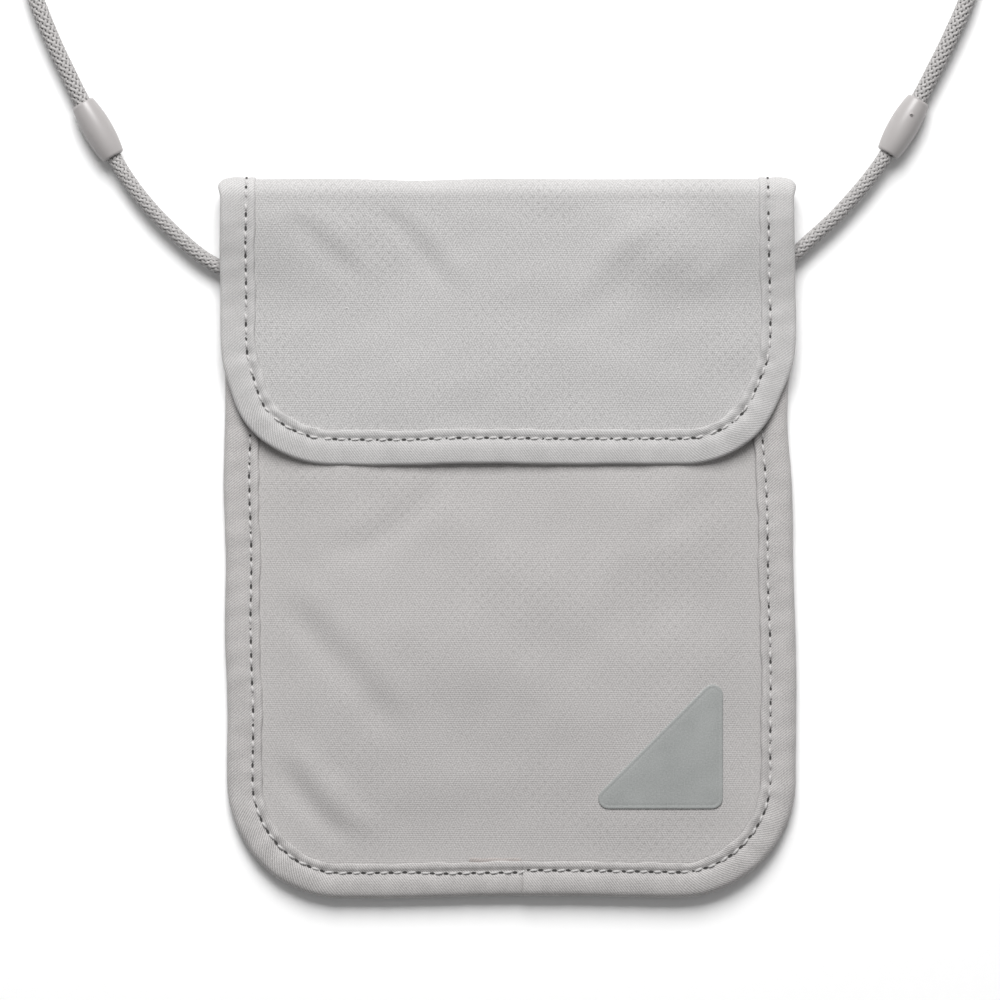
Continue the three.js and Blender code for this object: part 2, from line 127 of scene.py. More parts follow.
# ---- node helpers ----
class Nodes:
    """Builds one material's nodes with short calls."""

    def __init__(self, name, coordinate="UV"):
        self.material = bpy.data.materials.new(name)
        self.material.use_nodes = True
        self.tree = self.material.node_tree
        self.tree.nodes.clear()
        output = self.new("OutputMaterial")
        self.shader = self.new("BsdfPrincipled")
        self.link(self.shader.outputs["BSDF"], output.inputs["Surface"])
        self.place = self.new("TexCoord").outputs[coordinate]

    def new(self, kind, **constants):
        node = self.tree.nodes.new("ShaderNode" + kind)
        self.set(node, constants)
        return node

    def set(self, node, constants):
        for key, value in constants.items():
            node.inputs[key.replace("_", " ")].default_value = value

    def link(self, source, target):
        self.tree.links.new(source, target)

    def constant(self, **values):
        self.set(self.shader, values)

    def feed(self, value, socket):
        if isinstance(value, bpy.types.NodeSocket):
            self.link(value, socket)
        else:
            socket.default_value = value

    def math(self, operation, a, b=0.0):
        node = self.new("Math")
        node.operation = operation
        self.feed(a, node.inputs[0])
        self.feed(b, node.inputs[1])
        return node.outputs[0]

    def weighted(self, *terms):
        """The sum of (value, weight) terms."""
        total = None
        for value, weight in terms:
            part = self.math("MULTIPLY", value, weight)
            total = part if total is None else self.math("ADD", total, part)
        return total

    def turned(self, angle, scale=(1, 1, 1)):
        node = self.new("Mapping", Rotation=(0, 0, angle), Scale=scale)
        self.link(self.place, node.inputs["Vector"])
        return node.outputs[0]

    def waves(self, pitch_mm, angle=0.0, distortion=0.0):
        """Parallel bands with the given pitch, 0 to 1. Coordinates are in metres."""
        node = self.new("TexWave", Scale=TAU / 20 / (pitch_mm * MM), Distortion=distortion,
                        Detail=1, Detail_Scale=2)
        node.wave_type = "BANDS"
        node.bands_direction = "X"
        node.wave_profile = "SIN"
        self.link(self.turned(angle), node.inputs["Vector"])
        return node.outputs["Fac"]

    def noise(self, size_mm, detail=2.0, place=None, roughness=0.5):
        node = self.new("TexNoise", Scale=1 / (size_mm * MM), Detail=detail, Roughness=roughness)
        self.link(self.place if place is None else place, node.inputs["Vector"])
        return node.outputs["Fac"]

    def cells(self, size_mm):
        node = self.new("TexVoronoi", Scale=1 / (size_mm * MM))
        self.link(self.place, node.inputs["Vector"])
        return node.outputs["Distance"]

    def mix(self, factor, a, b):
        node = self.new("Mix")
        node.data_type = "RGBA"
        for value, socket in ((factor, "Factor"), (a, 6), (b, 7)):
            self.feed(value, node.inputs[socket])
        return node.outputs[2]

    def ranged(self, value, low, high, to_low=0.0, to_high=1.0):
        node = self.new("MapRange", From_Min=low, From_Max=high, To_Min=to_low, To_Max=to_high)
        self.feed(value, node.inputs["Value"])
        return node.outputs[0]

    def bump(self, height, depth_mm, strength=1.0, before=None):
        node = self.new("Bump", Strength=strength, Distance=depth_mm * MM)
        self.link(height, node.inputs["Height"])
        if before is not None:
            self.link(before, node.inputs["Normal"])
        return node.outputs["Normal"]

    def done(self, colour, normal=None, roughness=None):
        self.feed(colour, self.shader.inputs["Base Color"])
        if normal is not None:
            self.link(normal, self.shader.inputs["Normal"])
        if roughness is not None:
            self.feed(roughness, self.shader.inputs["Roughness"])
        return self.material


def grey(level, warmth=0.0):
    """A near-neutral linear colour; warmth above 0 leans to red."""
    return (level * (1 + 1.5 * warmth), level, level * (1 - 0.6 * warmth), 1)


# ---- materials ----
def fabric_material(name, level, warmth=0.016, contrast=0.28):
    """A fine dobby: short slanting floats that change direction from patch to patch."""
    n = Nodes(name)
    n.constant(Sheen_Weight=0.25, Sheen_Roughness=0.5, Specular_IOR_Level=0.25)
    leaning = [n.waves(0.60, math.radians(angle), 1.2) for angle in (28, -28)]
    floats = n.mix(n.ranged(n.noise(1.7, 3.0), 0.42, 0.58), *leaning)
    weft = n.waves(0.52, math.pi / 2, 2.2)
    dots = n.math("MULTIPLY", *[n.waves(2.2, angle) for angle in (math.pi / 4, -math.pi / 4)])
    dots = n.math("MULTIPLY", n.math("POWER", dots, 3.0), n.ranged(n.noise(30, 1.0), 0.40, 0.62))
    fleck = n.noise(0.40, 2.0, n.turned(0.6, (0.6, 1, 1)), 0.8)
    blotch = n.noise(16, 2.0)
    tone = n.weighted((floats, 0.22), (weft, 0.11), (fleck, 0.77), (blotch, 0.10))
    tone = n.math("SUBTRACT", tone, n.math("MULTIPLY", dots, 0.12))
    colour = n.mix(n.ranged(tone, 0.28, 0.88), grey(level * (1 - contrast), warmth),
                   grey(level * (1 + contrast), warmth * 0.8))
    fine = n.bump(n.math("ADD", floats, weft), 0.05, 0.6)
    normal = n.bump(n.noise(9, 3.0), 0.25, 0.35, n.bump(dots, 0.05, 0.5, fine))
    return n.done(colour, normal, n.ranged(blotch, 0.3, 0.7, 0.72, 0.88))


def lining_material(name):
    """Thin coated nylon: smooth, a little shiny, with a small square ripstop."""
    n = Nodes(name)
    n.constant(Coat_Weight=0.15, Coat_Roughness=0.35)
    lines = n.math("MAXIMUM", *[n.math("POWER", n.waves(3.0, a), 14.0) for a in (0.0, math.pi / 2)])
    weave = n.math("MULTIPLY", n.waves(0.32), n.waves(0.32, math.pi / 2))
    tone = n.weighted((lines, 0.35), (n.noise(6, 3.0), 0.5))
    colour = n.mix(tone, grey(0.33, 0.01), grey(0.43, 0.01))
    normal = n.bump(weave, 0.03, 0.4, n.bump(lines, 0.06, 0.6))
    return n.done(colour, normal, n.ranged(n.noise(10), 0.3, 0.7, 0.42, 0.6))


def tape_material(name, level, warmth, contrast=0.31):
    """Fine diagonal twill."""
    n = Nodes(name)
    n.constant(Sheen_Weight=0.2, Sheen_Roughness=0.5, Specular_IOR_Level=0.25)
    twill = n.waves(0.52, math.radians(52), 0.8)
    ends = n.waves(0.4, 0.0, 0.4)
    slub = n.noise(0.45, 3.0, roughness=0.8)
    blotch = n.noise(7, 2.0)
    tone = n.weighted((twill, 0.26), (ends, 0.10), (slub, 0.62), (blotch, 0.2))
    colour = n.mix(n.ranged(tone, 0.38, 0.82), grey(level * (1 - contrast), warmth),
                   grey(level * (1 + contrast), warmth))
    normal = n.bump(n.math("ADD", twill, n.math("MULTIPLY", ends, 0.5)), 0.045, 0.5)
    return n.done(colour, normal, n.ranged(blotch, 0.3, 0.7, 0.74, 0.9))


def thread_material(name, level, warmth=0.015):
    """Sewing thread: twisted plies."""
    n = Nodes(name)
    n.constant(Sheen_Weight=0.15)
    twist = n.waves(0.5, math.radians(35))
    colour = n.mix(n.math("MULTIPLY", n.math("ADD", twist, n.noise(1.2)), 0.5),
                   grey(level * 0.82, warmth), grey(level * 1.12, warmth))
    return n.done(colour, n.bump(twist, 0.05, 0.7), 0.62)


def dark_material(name, level):
    """The shaded inside of a needle hole or of the braid."""
    n = Nodes(name)
    colour = n.mix(n.noise(0.8), grey(level * 0.7, 0.03), grey(level * 1.3, 0.03))
    return n.done(colour, n.bump(n.noise(0.4), 0.03, 0.4), 0.95)


def braid_material(name, level):
    """One yarn of the braid: fine filaments running along it."""
    n = Nodes(name)
    n.constant(Sheen_Weight=0.3, Sheen_Roughness=0.4)
    filaments = n.waves(0.24, 0.0, 1.0)
    tone = n.weighted((filaments, 0.4), (n.noise(0.7, 3.0), 0.6))
    colour = n.mix(n.ranged(tone, 0.2, 0.8), grey(level * 0.60, 0.03), grey(level * 1.22, 0.016))
    return n.done(colour, n.bump(filaments, 0.04, 0.6), 0.7)


def rubber_material(name):
    """Smooth grey-green rubber with a very fine grain."""
    n = Nodes(name)
    grain = n.noise(0.35, 3.0)
    blotch = n.noise(9, 2.0)
    tone = n.weighted((grain, 0.9), (blotch, 0.3))
    colour = n.mix(n.ranged(tone, 0.3, 0.9), (0.235, 0.247, 0.241, 1), (0.405, 0.416, 0.410, 1))
    return n.done(colour, n.bump(grain, 0.02, 0.5), n.ranged(blotch, 0.3, 0.7, 0.48, 0.62))


def plastic_material(name):
    """Moulded plastic, satin, with faint flow marks."""
    n = Nodes(name)
    flow = n.noise(5, 2.0, n.turned(0, (1, 0.2, 1)))
    grain = n.noise(0.3, 2.0)
    colour = n.mix(flow, (0.335, 0.317, 0.314, 1), (0.40, 0.382, 0.378, 1))
    return n.done(colour, n.bump(grain, 0.012, 0.5, n.bump(flow, 0.04, 0.3)),
                  n.ranged(flow, 0.3, 0.7, 0.30, 0.42))


def nylon_material(name):
    """Zip coil monofilament."""
    n = Nodes(name)
    tone = n.noise(1.5, 2.0)
    n.constant(Coat_Weight=0.2, Coat_Roughness=0.3)
    return n.done(n.mix(tone, grey(0.30, 0.01), grey(0.38, 0.01)), n.bump(n.noise(0.4), 0.02, 0.4), 0.42)


def metal_material(name):
    """Cast and plated zip metal with fine wear."""
    n = Nodes(name, "Object")
    n.constant(Metallic=1.0)
    wear = n.noise(1.4, 5.0, roughness=0.65)
    scratches = n.noise(0.5, 4.0, n.turned(0.5, (0.15, 1, 1)))
    colour = n.mix(n.weighted((wear, 0.6), (scratches, 0.4)), grey(0.22, 0.0), grey(0.38, 0.005))
    return n.done(colour, n.bump(scratches, 0.01, 0.5), n.ranged(wear, 0.3, 0.7, 0.42, 0.56))


def fuzzy_material(name, level):
    """Hook-and-loop tape."""
    n = Nodes(name)
    n.constant(Sheen_Weight=0.5, Sheen_Roughness=0.5)
    tufts = n.cells(0.8)
    tone = n.weighted((tufts, 0.7), (n.noise(0.4, 4.0), 0.5))
    colour = n.mix(n.ranged(tone, 0.2, 0.9), grey(level * 1.15, 0.01), grey(level * 0.7, 0.01))
    return n.done(colour, n.bump(tufts, 0.25, 0.8, n.bump(n.noise(0.35, 3.0), 0.15, 0.8)), 0.9)


def floor_material():
    """Plain white paper."""
    n = Nodes("floor", "Object")
    paper = n.noise(3, 3.0)
    colour = n.mix(paper, (0.965, 0.965, 0.965, 1), (0.985, 0.985, 0.985, 1))
    n.constant(Specular_IOR_Level=0.1)
    return n.done(colour, n.bump(paper, 0.01, 0.2), 0.9)


LOOKS = {}


def make_materials():
    LOOKS.update(
        fabric=fabric_material("pouch_fabric", 0.425, 0.014, 0.37),
        # a slightly darker, warmer copy of the fabric for the front panel: its darkening is painted shade
        front_fabric=fabric_material("pouch_fabric_front_shaded", 0.418, 0.026),
        fabric_inside=fabric_material("pouch_fabric_inside", 0.42),
        lining=lining_material("lining_fabric"),
        tape=tape_material("edge_tape", 0.418, 0.022, 0.42),
        # a lighter copy of the edge tape for the flap's binding: painted light, the body's tape being the
        # shaded copy
        flap_tape=tape_material("edge_tape_flap_lit", 0.448, 0.012),
        tuck=tape_material("edge_tape_tuck", 0.33, 0.06),
        thread=thread_material("thread", 0.5),
        # the needle holes' dark colour is painted shade inside them
        hole=dark_material("needle_hole_shade", 0.045),
        braid=braid_material("cord_yarn", 0.43),
        # painted shade for the gaps between the cord's yarns
        braid_core=dark_material("cord_core_shade", 0.13),
        rubber=rubber_material("patch_rubber"),
        plastic=plastic_material("bead_plastic"),
        # painted shade for inside the beads' bores
        bore=dark_material("bead_bore_shade", 0.06),
        nylon=nylon_material("zip_nylon"),
        metal=metal_material("zip_metal"),
        loop=fuzzy_material("loop_tape", 0.36),
        hook=fuzzy_material("hook_tape", 0.30))


# ---- mesh helpers ----
def make_mesh(name, points, faces, looks, uvs=None, face_looks=None, flat_last=0):
    """A mesh from points in mm, with one uv pair per point, in mm. Its last flat_last faces are flat."""
    mesh = bpy.data.meshes.new(name)
    mesh.from_pydata([tuple(p) for p in np.asarray(points, float) * MM], [], [list(f) for f in faces])
    looks = looks if isinstance(looks, (list, tuple)) else [looks]
    for look in looks:
        mesh.materials.append(LOOKS[look])
    if uvs is not None:
        layer = mesh.uv_layers.new(name="flat")
        corners = np.empty(len(mesh.loops), int)
        mesh.loops.foreach_get("vertex_index", corners)
        layer.data.foreach_set("uv", (np.asarray(uvs, float)[corners] * MM).ravel())
    if face_looks is not None:
        mesh.polygons.foreach_set("material_index", np.asarray(face_looks, np.int32))
    smooth = np.ones(len(mesh.polygons), bool)
    if flat_last:
        smooth[-flat_last:] = False
    mesh.polygons.foreach_set("use_smooth", smooth)
    if flat_last:
        flat_edges = {key for face in mesh.polygons[-flat_last:] for key in face.edge_keys}
        for edge in mesh.edges:
            edge.use_edge_sharp = edge.key in flat_edges
    mesh.update()
    return linked(name, mesh)


def placed(piece, body, slot, *nodes):
    """Puts a piece on a body (None leaves it unattached), in place of CAD nodes. slot is not used."""
    if body is not None:
        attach(piece, body)
    if nodes:
        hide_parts(*nodes)
    return piece


def grid_faces(rows, columns, closed=False, start=0):
    """Quads over rows of points. closed joins the last column to the first."""
    faces = []
    for i in range(rows - 1):
        here, ahead = start + i * columns, start + (i + 1) * columns
        for j in range(columns if closed else columns - 1):
            k = (j + 1) % columns
            faces.append((here + j, here + k, ahead + k, ahead + j))
    return faces


def turned_over(faces, offset=0):
    """Faces that face the other way, with offset added to their point numbers."""
    return [tuple(i + offset for i in reversed(face)) for face in faces]


def end_caps(count, sides):
    """The two faces that close a tube of count points."""
    return [tuple(reversed(range(sides))), tuple(range(count - sides, count))]


def circle(sides):
    """Evenly spaced angles, once round."""
    return [TAU * k / sides for k in range(sides)]


def on_ring(centre, side, up, radius, angle):
    """A point on a circle in the plane of side and up."""
    return centre + side * (radius * math.cos(angle)) + up * (radius * math.sin(angle))


def unit(vectors):
    """One vector, or one per row, at length 1."""
    if vectors.ndim == 1:
        return vectors / np.linalg.norm(vectors)
    return vectors / np.linalg.norm(vectors, axis=1)[:, None]


def distance_along(path):
    """The distance from the first point to each point."""
    return np.r_[0, np.cumsum(np.linalg.norm(np.diff(path, axis=0), axis=1))]


def merged(parts):
    """Joins several (points, faces, uvs, look index) lists into one."""
    points, faces, uvs, looks = [], [], [], []
    start = 0
    for part_points, part_faces, part_uvs, look in parts:
        points.append(np.asarray(part_points, float))
        faces.extend([tuple(i + start for i in face) for face in part_faces])
        uvs.append(np.asarray(part_uvs, float))
        looks.extend([look] * len(part_faces))
        start += len(part_points)
    return np.vstack(points), faces, np.vstack(uvs), looks


def smoothstep(t):
    """0 up to 0, 1 from 1, and a smooth rise between."""
    t = np.clip(t, 0, 1)
    return t * t * (3 - 2 * t)


def bell(t, centre, width):
    """1 at the centre, and falling to 0 on both sides."""
    return np.exp(-((t - centre) / width) ** 2)


def wobble(x, y, size, seed):
    """Smooth pseudo-random height, about -1 to 1, from a few sine waves."""
    rng = np.random.RandomState(seed)
    total = 0 * np.asarray(x, float) + 0 * np.asarray(y, float)
    for _ in range(7):
        angle = rng.uniform(0, TAU)
        wavelength = size * rng.uniform(0.7, 1.9)
        phase = rng.uniform(0, TAU)
        total = total + np.sin(TAU * (x * math.cos(angle) + y * math.sin(angle)) / wavelength + phase)
    return total / 3.2


def stroke(x, y, start, end, width, height, bend=0.0):
    """A soft crease from start to end: a ridge, or a valley if height is below 0."""
    (x0, y0), (x1, y1) = start, end
    length = math.hypot(x1 - x0, y1 - y0)
    ux, uy = (x1 - x0) / length, (y1 - y0) / length
    along = ((x - x0) * ux + (y - y0) * uy) / length
    across = -(x - x0) * uy + (y - y0) * ux
    across = across - bend * 4 * along * (1 - along)
    ends = smoothstep(along / 0.3 + 0.15) * smoothstep((1 - along) / 0.3 + 0.15)
    return height * ends * bell(across, 0, width)


# ---- outlines ----
def outline(left, right, bottom, corner, top, step=1.0):
    """Left side down, round the bottom, and up the right side, as points about step apart."""
    arc = int(corner * math.pi / 2 / step)

    def rounded(x, start):
        angles = [start + k / arc * math.pi / 2 for k in range(arc + 1)]
        return [(x + corner * math.cos(a), bottom + corner + corner * math.sin(a)) for a in angles]

    points = [(left, y) for y in np.arange(top, bottom + corner, -step)]
    points += rounded(left + corner, math.pi)
    points += [(x, bottom) for x in np.arange(left + corner + step, right - corner - step / 2, step)]
    points += rounded(right - corner, 1.5 * math.pi)
    points += [(right, y) for y in np.arange(bottom + corner + step, top - step / 2, step)]
    return np.array(points + [(right, top)])


def resampled(points, step):
    """The same path with points evenly apart, as near to step as fits."""
    points = np.asarray(points, float)
    lengths = distance_along(points)
    count = max(2, int(round(lengths[-1] / step)) + 1)
    at = np.linspace(0, lengths[-1], count)
    return np.stack([np.interp(at, lengths, points[:, k]) for k in range(points.shape[1])], 1)


def softened(points, passes):
    """Each point moved towards its neighbours, the ends kept."""
    points = np.array(points, float)
    for _ in range(passes):
        points[1:-1] = (points[:-2] + 2 * points[1:-1] + points[2:]) / 4
    return points


def inward_normals(points):
    """Unit normals that point into the pouch, for an outline made by outline()."""
    ahead = unit(np.gradient(points, axis=0))
    return np.stack([-ahead[:, 1], ahead[:, 0]], 1)


def body_outline():
    """The body's outer edge, a little wavy as sewn cloth is."""
    points = outline(-71.0, 71.6, BODY_BOTTOM_Y, BODY_CORNER, TOP_SEAM_Y)
    x, y = points.T
    bulge = np.where(x > 20, 0.9 * bell(y, -42, 26) - 1.4 * bell(y, 32, 14), 0)
    narrow = np.where(x < -20, 0.7 * smoothstep((10 - y) / 80), 0)
    x = x + bulge + narrow
    y = y + 0.45 * np.sin((x + 20) / 60 * math.pi) * (y < -60) * bell(x, 0, 60)
    x = x + 0.18 * wobble(x, y, 30, 3)
    return softened(resampled(np.stack([x, y], 1), 1.0), 3)


def flap_outline():
    """The flap's outer edge, with a slight waist on each side."""
    points = outline(-71.9, 71.5, FLAP_BOTTOM_Y, FLAP_CORNER, TOP_SEAM_Y)
    x, y = points.T
    x = x + np.where(x < -30, bell(y, 38, 7), 0)
    x = x + np.where(x > 30, 0.9 * bell(y, 56, 14) - 1.2 * bell(y, 36, 8), 0)
    x = x + 0.12 * wobble(x, y, 26, 5)
    y = y + np.where(y < 24, 0.25 * wobble(x, y, 45, 9), 0)
    return softened(resampled(np.stack([x, y], 1), 1.0), 3)


BODY_EDGE = body_outline()
FLAP_EDGE = flap_outline()


def half_widths(edge, y):
    """Left and right x of an outline at height y."""
    lowest = int(np.argmin(edge[:, 1]))
    left, right = edge[:lowest + 1][::-1], edge[lowest:]
    return np.interp(y, left[:, 1], left[:, 0]), np.interp(y, right[:, 1], right[:, 0])


def inside_distance(edge, x, y):
    """Distance from the outline, for arrays of points."""
    points = np.stack([np.ravel(x), np.ravel(y)], 1)
    nearest = np.empty(len(points))
    b = edge[2::2]
    a = edge[:-1:2][:len(b)]
    d = b - a
    squares = (d ** 2).sum(1)
    batch = 4000
    for start in range(0, len(points), batch):
        p = points[start:start + batch, None, :]
        t = np.clip(((p - a) * d).sum(2) / squares, 0, 1)
        nearest[start:start + batch] = np.linalg.norm(p - (a + t[..., None] * d), axis=2).min(1)
    return nearest.reshape(np.shape(x))


# ---- heights of the cloth ----
def edge_lift(y):
    """The bottom edge stands a little off the floor, as the filled middle holds it up."""
    return 1.1 * smoothstep((-58 - np.asarray(y, float)) / 30)


# soft creases: start, end, width, height (a valley if below 0), bend
FRONT_CREASES = [
    ((-60, -14), (-26, -52), 4.2, -0.62, 2.0), ((-57, -8), (-20, -48), 4.5, 0.35, 2.0),
    ((-64, -52), (-38, -80), 3.6, -0.85), ((-58, -49), (-32, -76), 3.8, 0.62),
    ((-46, -4), (-14, 17), 4.0, -0.42, -4.0), ((20, -22), (62, -14), 7.0, -0.38, 3.0),
    ((-20, -30), (30, -44), 9.0, 0.30, 3.0), ((58, 14), (30, -2), 4.0, -0.22)]
FLAP_CREASES = [
    ((-33, 84), (-15, 62), 2.8, -0.42, 1.0), ((-28, 85), (-9, 62), 3.0, 0.32, 1.0),
    ((-56, 82), (-36, 64), 3.0, -0.38), ((-51, 84), (-31, 64), 3.2, 0.26),
    ((36, 80), (17, 60), 3.4, 0.30, -1.5), ((42, 78), (24, 57), 3.2, -0.22, -1.5),
    ((62, 76), (44, 62), 3.0, 0.26), ((-55, 55), (52, 56), 7.0, -0.22)]


def front_height(x, y):
    """The front panel's outer surface."""
    x, y = np.asarray(x, float), np.asarray(y, float)
    d = inside_distance(BODY_EDGE, x, y)
    rise = smoothstep((d - 5.5) / 26) * (0.35 + 0.65 * smoothstep((y + 84) / 75))
    z = FABRIC_EDGE_Z + edge_lift(y) + FABRIC_RISE * rise
    free = smoothstep((d - 9) / 12)
    z = z + free * 0.20 * wobble(x, y, 38, 11)
    z = z + free * 0.07 * wobble(x, y, 15, 12)
    for crease in FRONT_CREASES:
        z = z + free * stroke(x, y, *crease)
    return z


def flap_height(x, y):
    """The flap's outer surface."""
    x, y = np.asarray(x, float), np.asarray(y, float)
    u = np.clip(np.abs(x + 0.2) / 72, 0, 1)
    crown = (1 - u ** 2.4) ** 1.3
    lower = 5.7 + 3.6 * crown - 0.5 * smoothstep((34 - y) / 22)
    hand_over = smoothstep((TOP_SEAM_Y - 1 - y) / 27)
    z = FOLD_TOP_Z * (1 - hand_over) + lower * hand_over
    over_pull = bell(x, 39, 14) * bell(y, 73.0, 8.5)
    z = z + 1.15 * over_pull
    free = smoothstep((66.0 - np.abs(x)) / 10) * smoothstep((y - 25) / 8)
    soft = free * smoothstep((TOP_SEAM_Y - y) / 5)
    z = z + soft * 0.16 * wobble(x, y, 34, 21)
    z = z + soft * 0.06 * wobble(x, y, 13, 22)
    for crease in FLAP_CREASES:
        z = z + soft * stroke(x, y, *crease)
    return z


def back_height(x, y):
    """The back panel's outer surface, close to the floor."""
    d = inside_distance(BODY_EDGE, x, y)
    free = smoothstep((d - 8) / 10)
    return 0.62 + edge_lift(y) + 0.22 * free * wobble(x, y, 40, 31) + 0.10 * free


# ---- cloth panels ----
def panel_grid(edge, inset, bottom, top, columns, row_step):
    """A grid of points that fills an outline between two heights."""
    lowest = bottom + inset
    rows = [lowest]
    while rows[-1] < top - 1e-6:
        near_corner = 1 if rows[-1] > lowest + 12 else 0.35
        rows.append(min(top, rows[-1] + row_step * near_corner))
    grid = []
    for y in rows:
        at = max(y - inset * 0.9, edge[:, 1].min() + 0.25) if y < bottom + 30 else y
        left, right = half_widths(edge, at)
        width = right - left - 2 * inset
        grid.append([(left + inset + width * j / (columns - 1), y) for j in range(columns)])
    return np.array(grid)


def cloth_sheet(name, grid, height, thickness, look, body, node, slot, flat=None, area=None):
    """A thin double-sided panel whose outer surface is height(x, y)."""
    rows, columns = grid.shape[:2]
    x, y = grid[..., 0].ravel(), grid[..., 1].ravel()
    z = np.asarray(height(x, y), float)
    top = np.stack([x, y, z], 1)
    under = np.stack([x, y, z - thickness], 1)
    count = len(top)
    faces = grid_faces(rows, columns)
    rim = list(range(columns))
    rim += [i * columns + columns - 1 for i in range(1, rows)]
    rim += [(rows - 1) * columns + j for j in range(columns - 2, -1, -1)]
    rim += [i * columns for i in range(rows - 2, 0, -1)]
    edges = [(rim[k], rim[k - 1], rim[k - 1] + count, rim[k] + count) for k in range(len(rim))]
    uvs = np.stack([np.r_[x, x], np.r_[y, y]], 1)
    faces = faces + turned_over(faces, count) + edges
    piece = make_mesh(name, np.vstack([top, under]), faces, look, uvs, flat_last=len(edges))
    placed(piece, body, slot, node)


def make_panels():
    """The cloth and lining of the pouch, each under the edge tape by its inset."""
    corner_loss = 0.86 * BODY_CORNER ** 2 * (1 - math.pi / 4) * 2 * MM ** 2
    zip_clear_x = 61.8

    def cut(width, length):
        return {"flat": (width, length), "area": width * length - corner_loss}

    def grid(inset, top, columns, row_step):
        return panel_grid(BODY_EDGE, inset, BODY_BOTTOM_Y, top, columns, row_step)

    cloth_sheet("front_panel_cloth", grid(1.6, POCKET_MOUTH_Y, 131, 1.1), front_height, PANEL_CLOTH,
                "front_fabric", "pouch", "front_panel", "pouch_fabric", **cut(0.141, 0.147))
    cloth_sheet("back_panel_cloth", grid(1.6, TOP_SEAM_Y, 71, 2.2),
                lambda x, y: back_height(x, y) + PANEL_CLOTH, PANEL_CLOTH,
                "fabric", "pouch", "back_panel", "pouch_fabric", **cut(0.141, 0.1744))
    cloth_sheet("back_lining_cloth", grid(2.4, 61.5, 61, 2.5),
                lambda x, y: 1.6 + edge_lift(y) + 0.12 * wobble(x, y, 33, 41), LINING,
                "lining", "pouch", "back_lining", "lining_fabric", **cut(0.141, 0.1515))
    middle = grid(2.4, 70.4, 71, 2.2)
    narrowed = np.clip(middle[..., 0], -zip_clear_x, zip_clear_x)
    middle[..., 0] = np.where(middle[..., 1] > 58.5, narrowed, middle[..., 0])
    cloth_sheet("middle_panel_cloth", middle,
                lambda x, y: 2.5 + edge_lift(y) + 0.10 * wobble(x, y, 36, 43), MIDDLE_CLOTH,
                "fabric_inside", "pouch", "middle_panel", "pouch_fabric", **cut(0.141, 0.160))
    strip = np.array([[(x, y) for x in np.linspace(-70, 70, 71)] for y in np.linspace(79.6, TOP_SEAM_Y, 5)])
    cloth_sheet("zip_top_strip_cloth", strip,
                lambda x, y: 3.0 + 0.35 * smoothstep((81.2 - y) / 1.6) + 0.04 * wobble(x, y, 20, 47), 0.4,
                "fabric_inside", "pouch", "zip_top_strip", "pouch_fabric")


# ---- edge tape ----
def tape_profile(thickness, pinch):
    """Folded tape across its width, from the lip on top, round the outer edge, to the lip below.

    Returns rows of (distance in from the edge, share of the height, extra height, distance round).
    """
    lip = TAPE_WIDTH
    top = [
        (lip + 0.05, 1, -0.60), (lip + 0.03, 1, -0.30), (lip - 0.10, 1, -0.08), (lip - 0.4, 1, 0.04),
        (lip - 1.0, 1, 0.02), (lip - 1.55, 1, -0.14), (STITCH_IN + 0.24, 1, -pinch),
        (STITCH_IN - 0.24, 1, -pinch), (STITCH_IN - 0.9, 1, -0.14), (STITCH_IN - 1.9, 1, 0.10),
        (3.4, 1, 0.14), (2.2, 1, 0.04)]
    round_in = min(1.75, thickness / 2)
    edge = []
    for k in range(9):
        a = math.pi / 2 + math.pi * k / 8
        edge.append((round_in + round_in * math.cos(a) * 0.98, 0.5 + 0.485 * math.sin(a), 0))
    under = [(3.4, 0, -0.02), (5.0, 0, 0), (STITCH_IN, 0, 0.22), (lip - 1.0, 0, 0),
             (lip - 0.1, 0, 0.06), (lip + 0.02, 0, 0.35), (lip - 0.3, 0, 0.5)]
    rows = np.array(top + edge + under, float)
    flat = np.stack([rows[:, 0], rows[:, 1] * thickness + rows[:, 2]], 1)
    return np.column_stack([rows, distance_along(flat)])


TAPE_STEP = 0.8
JOIN_WIDTH = 0.24          # the step where the tape's end laps over its start
JOIN_STEP = 0.42


def tape_path(edge):
    """Points along an outline, their inward normals, and the length of the stitch line up to each."""
    path = resampled(edge, TAPE_STEP)
    if edge is BODY_EDGE:
        after = int(np.nonzero((path[:, 0] > TAPE_JOIN_X) & (path[:, 1] < -80))[0][0])
        extra = [(TAPE_JOIN_X + dx, path[after, 1]) for dx in (-0.26, -0.14, -0.05, 0.05, 0.14, 0.26)]
        path = np.insert(path, after, extra, axis=0)
    normals = unit(softened(inward_normals(path), 4))
    if edge is FLAP_EDGE:
        normals[:3] = (1, 0)
        normals[-3:] = (-1, 0)
    return path, normals, distance_along(path + normals * STITCH_IN)


def pucker(along, inset):
    """How far the tape swells round the stitch line midway between two needle holes."""
    midway = 0.5 - 0.5 * np.cos(TAU * along / STITCH_PITCH)
    return 0.20 * midway * bell(inset, STITCH_IN, 0.9)


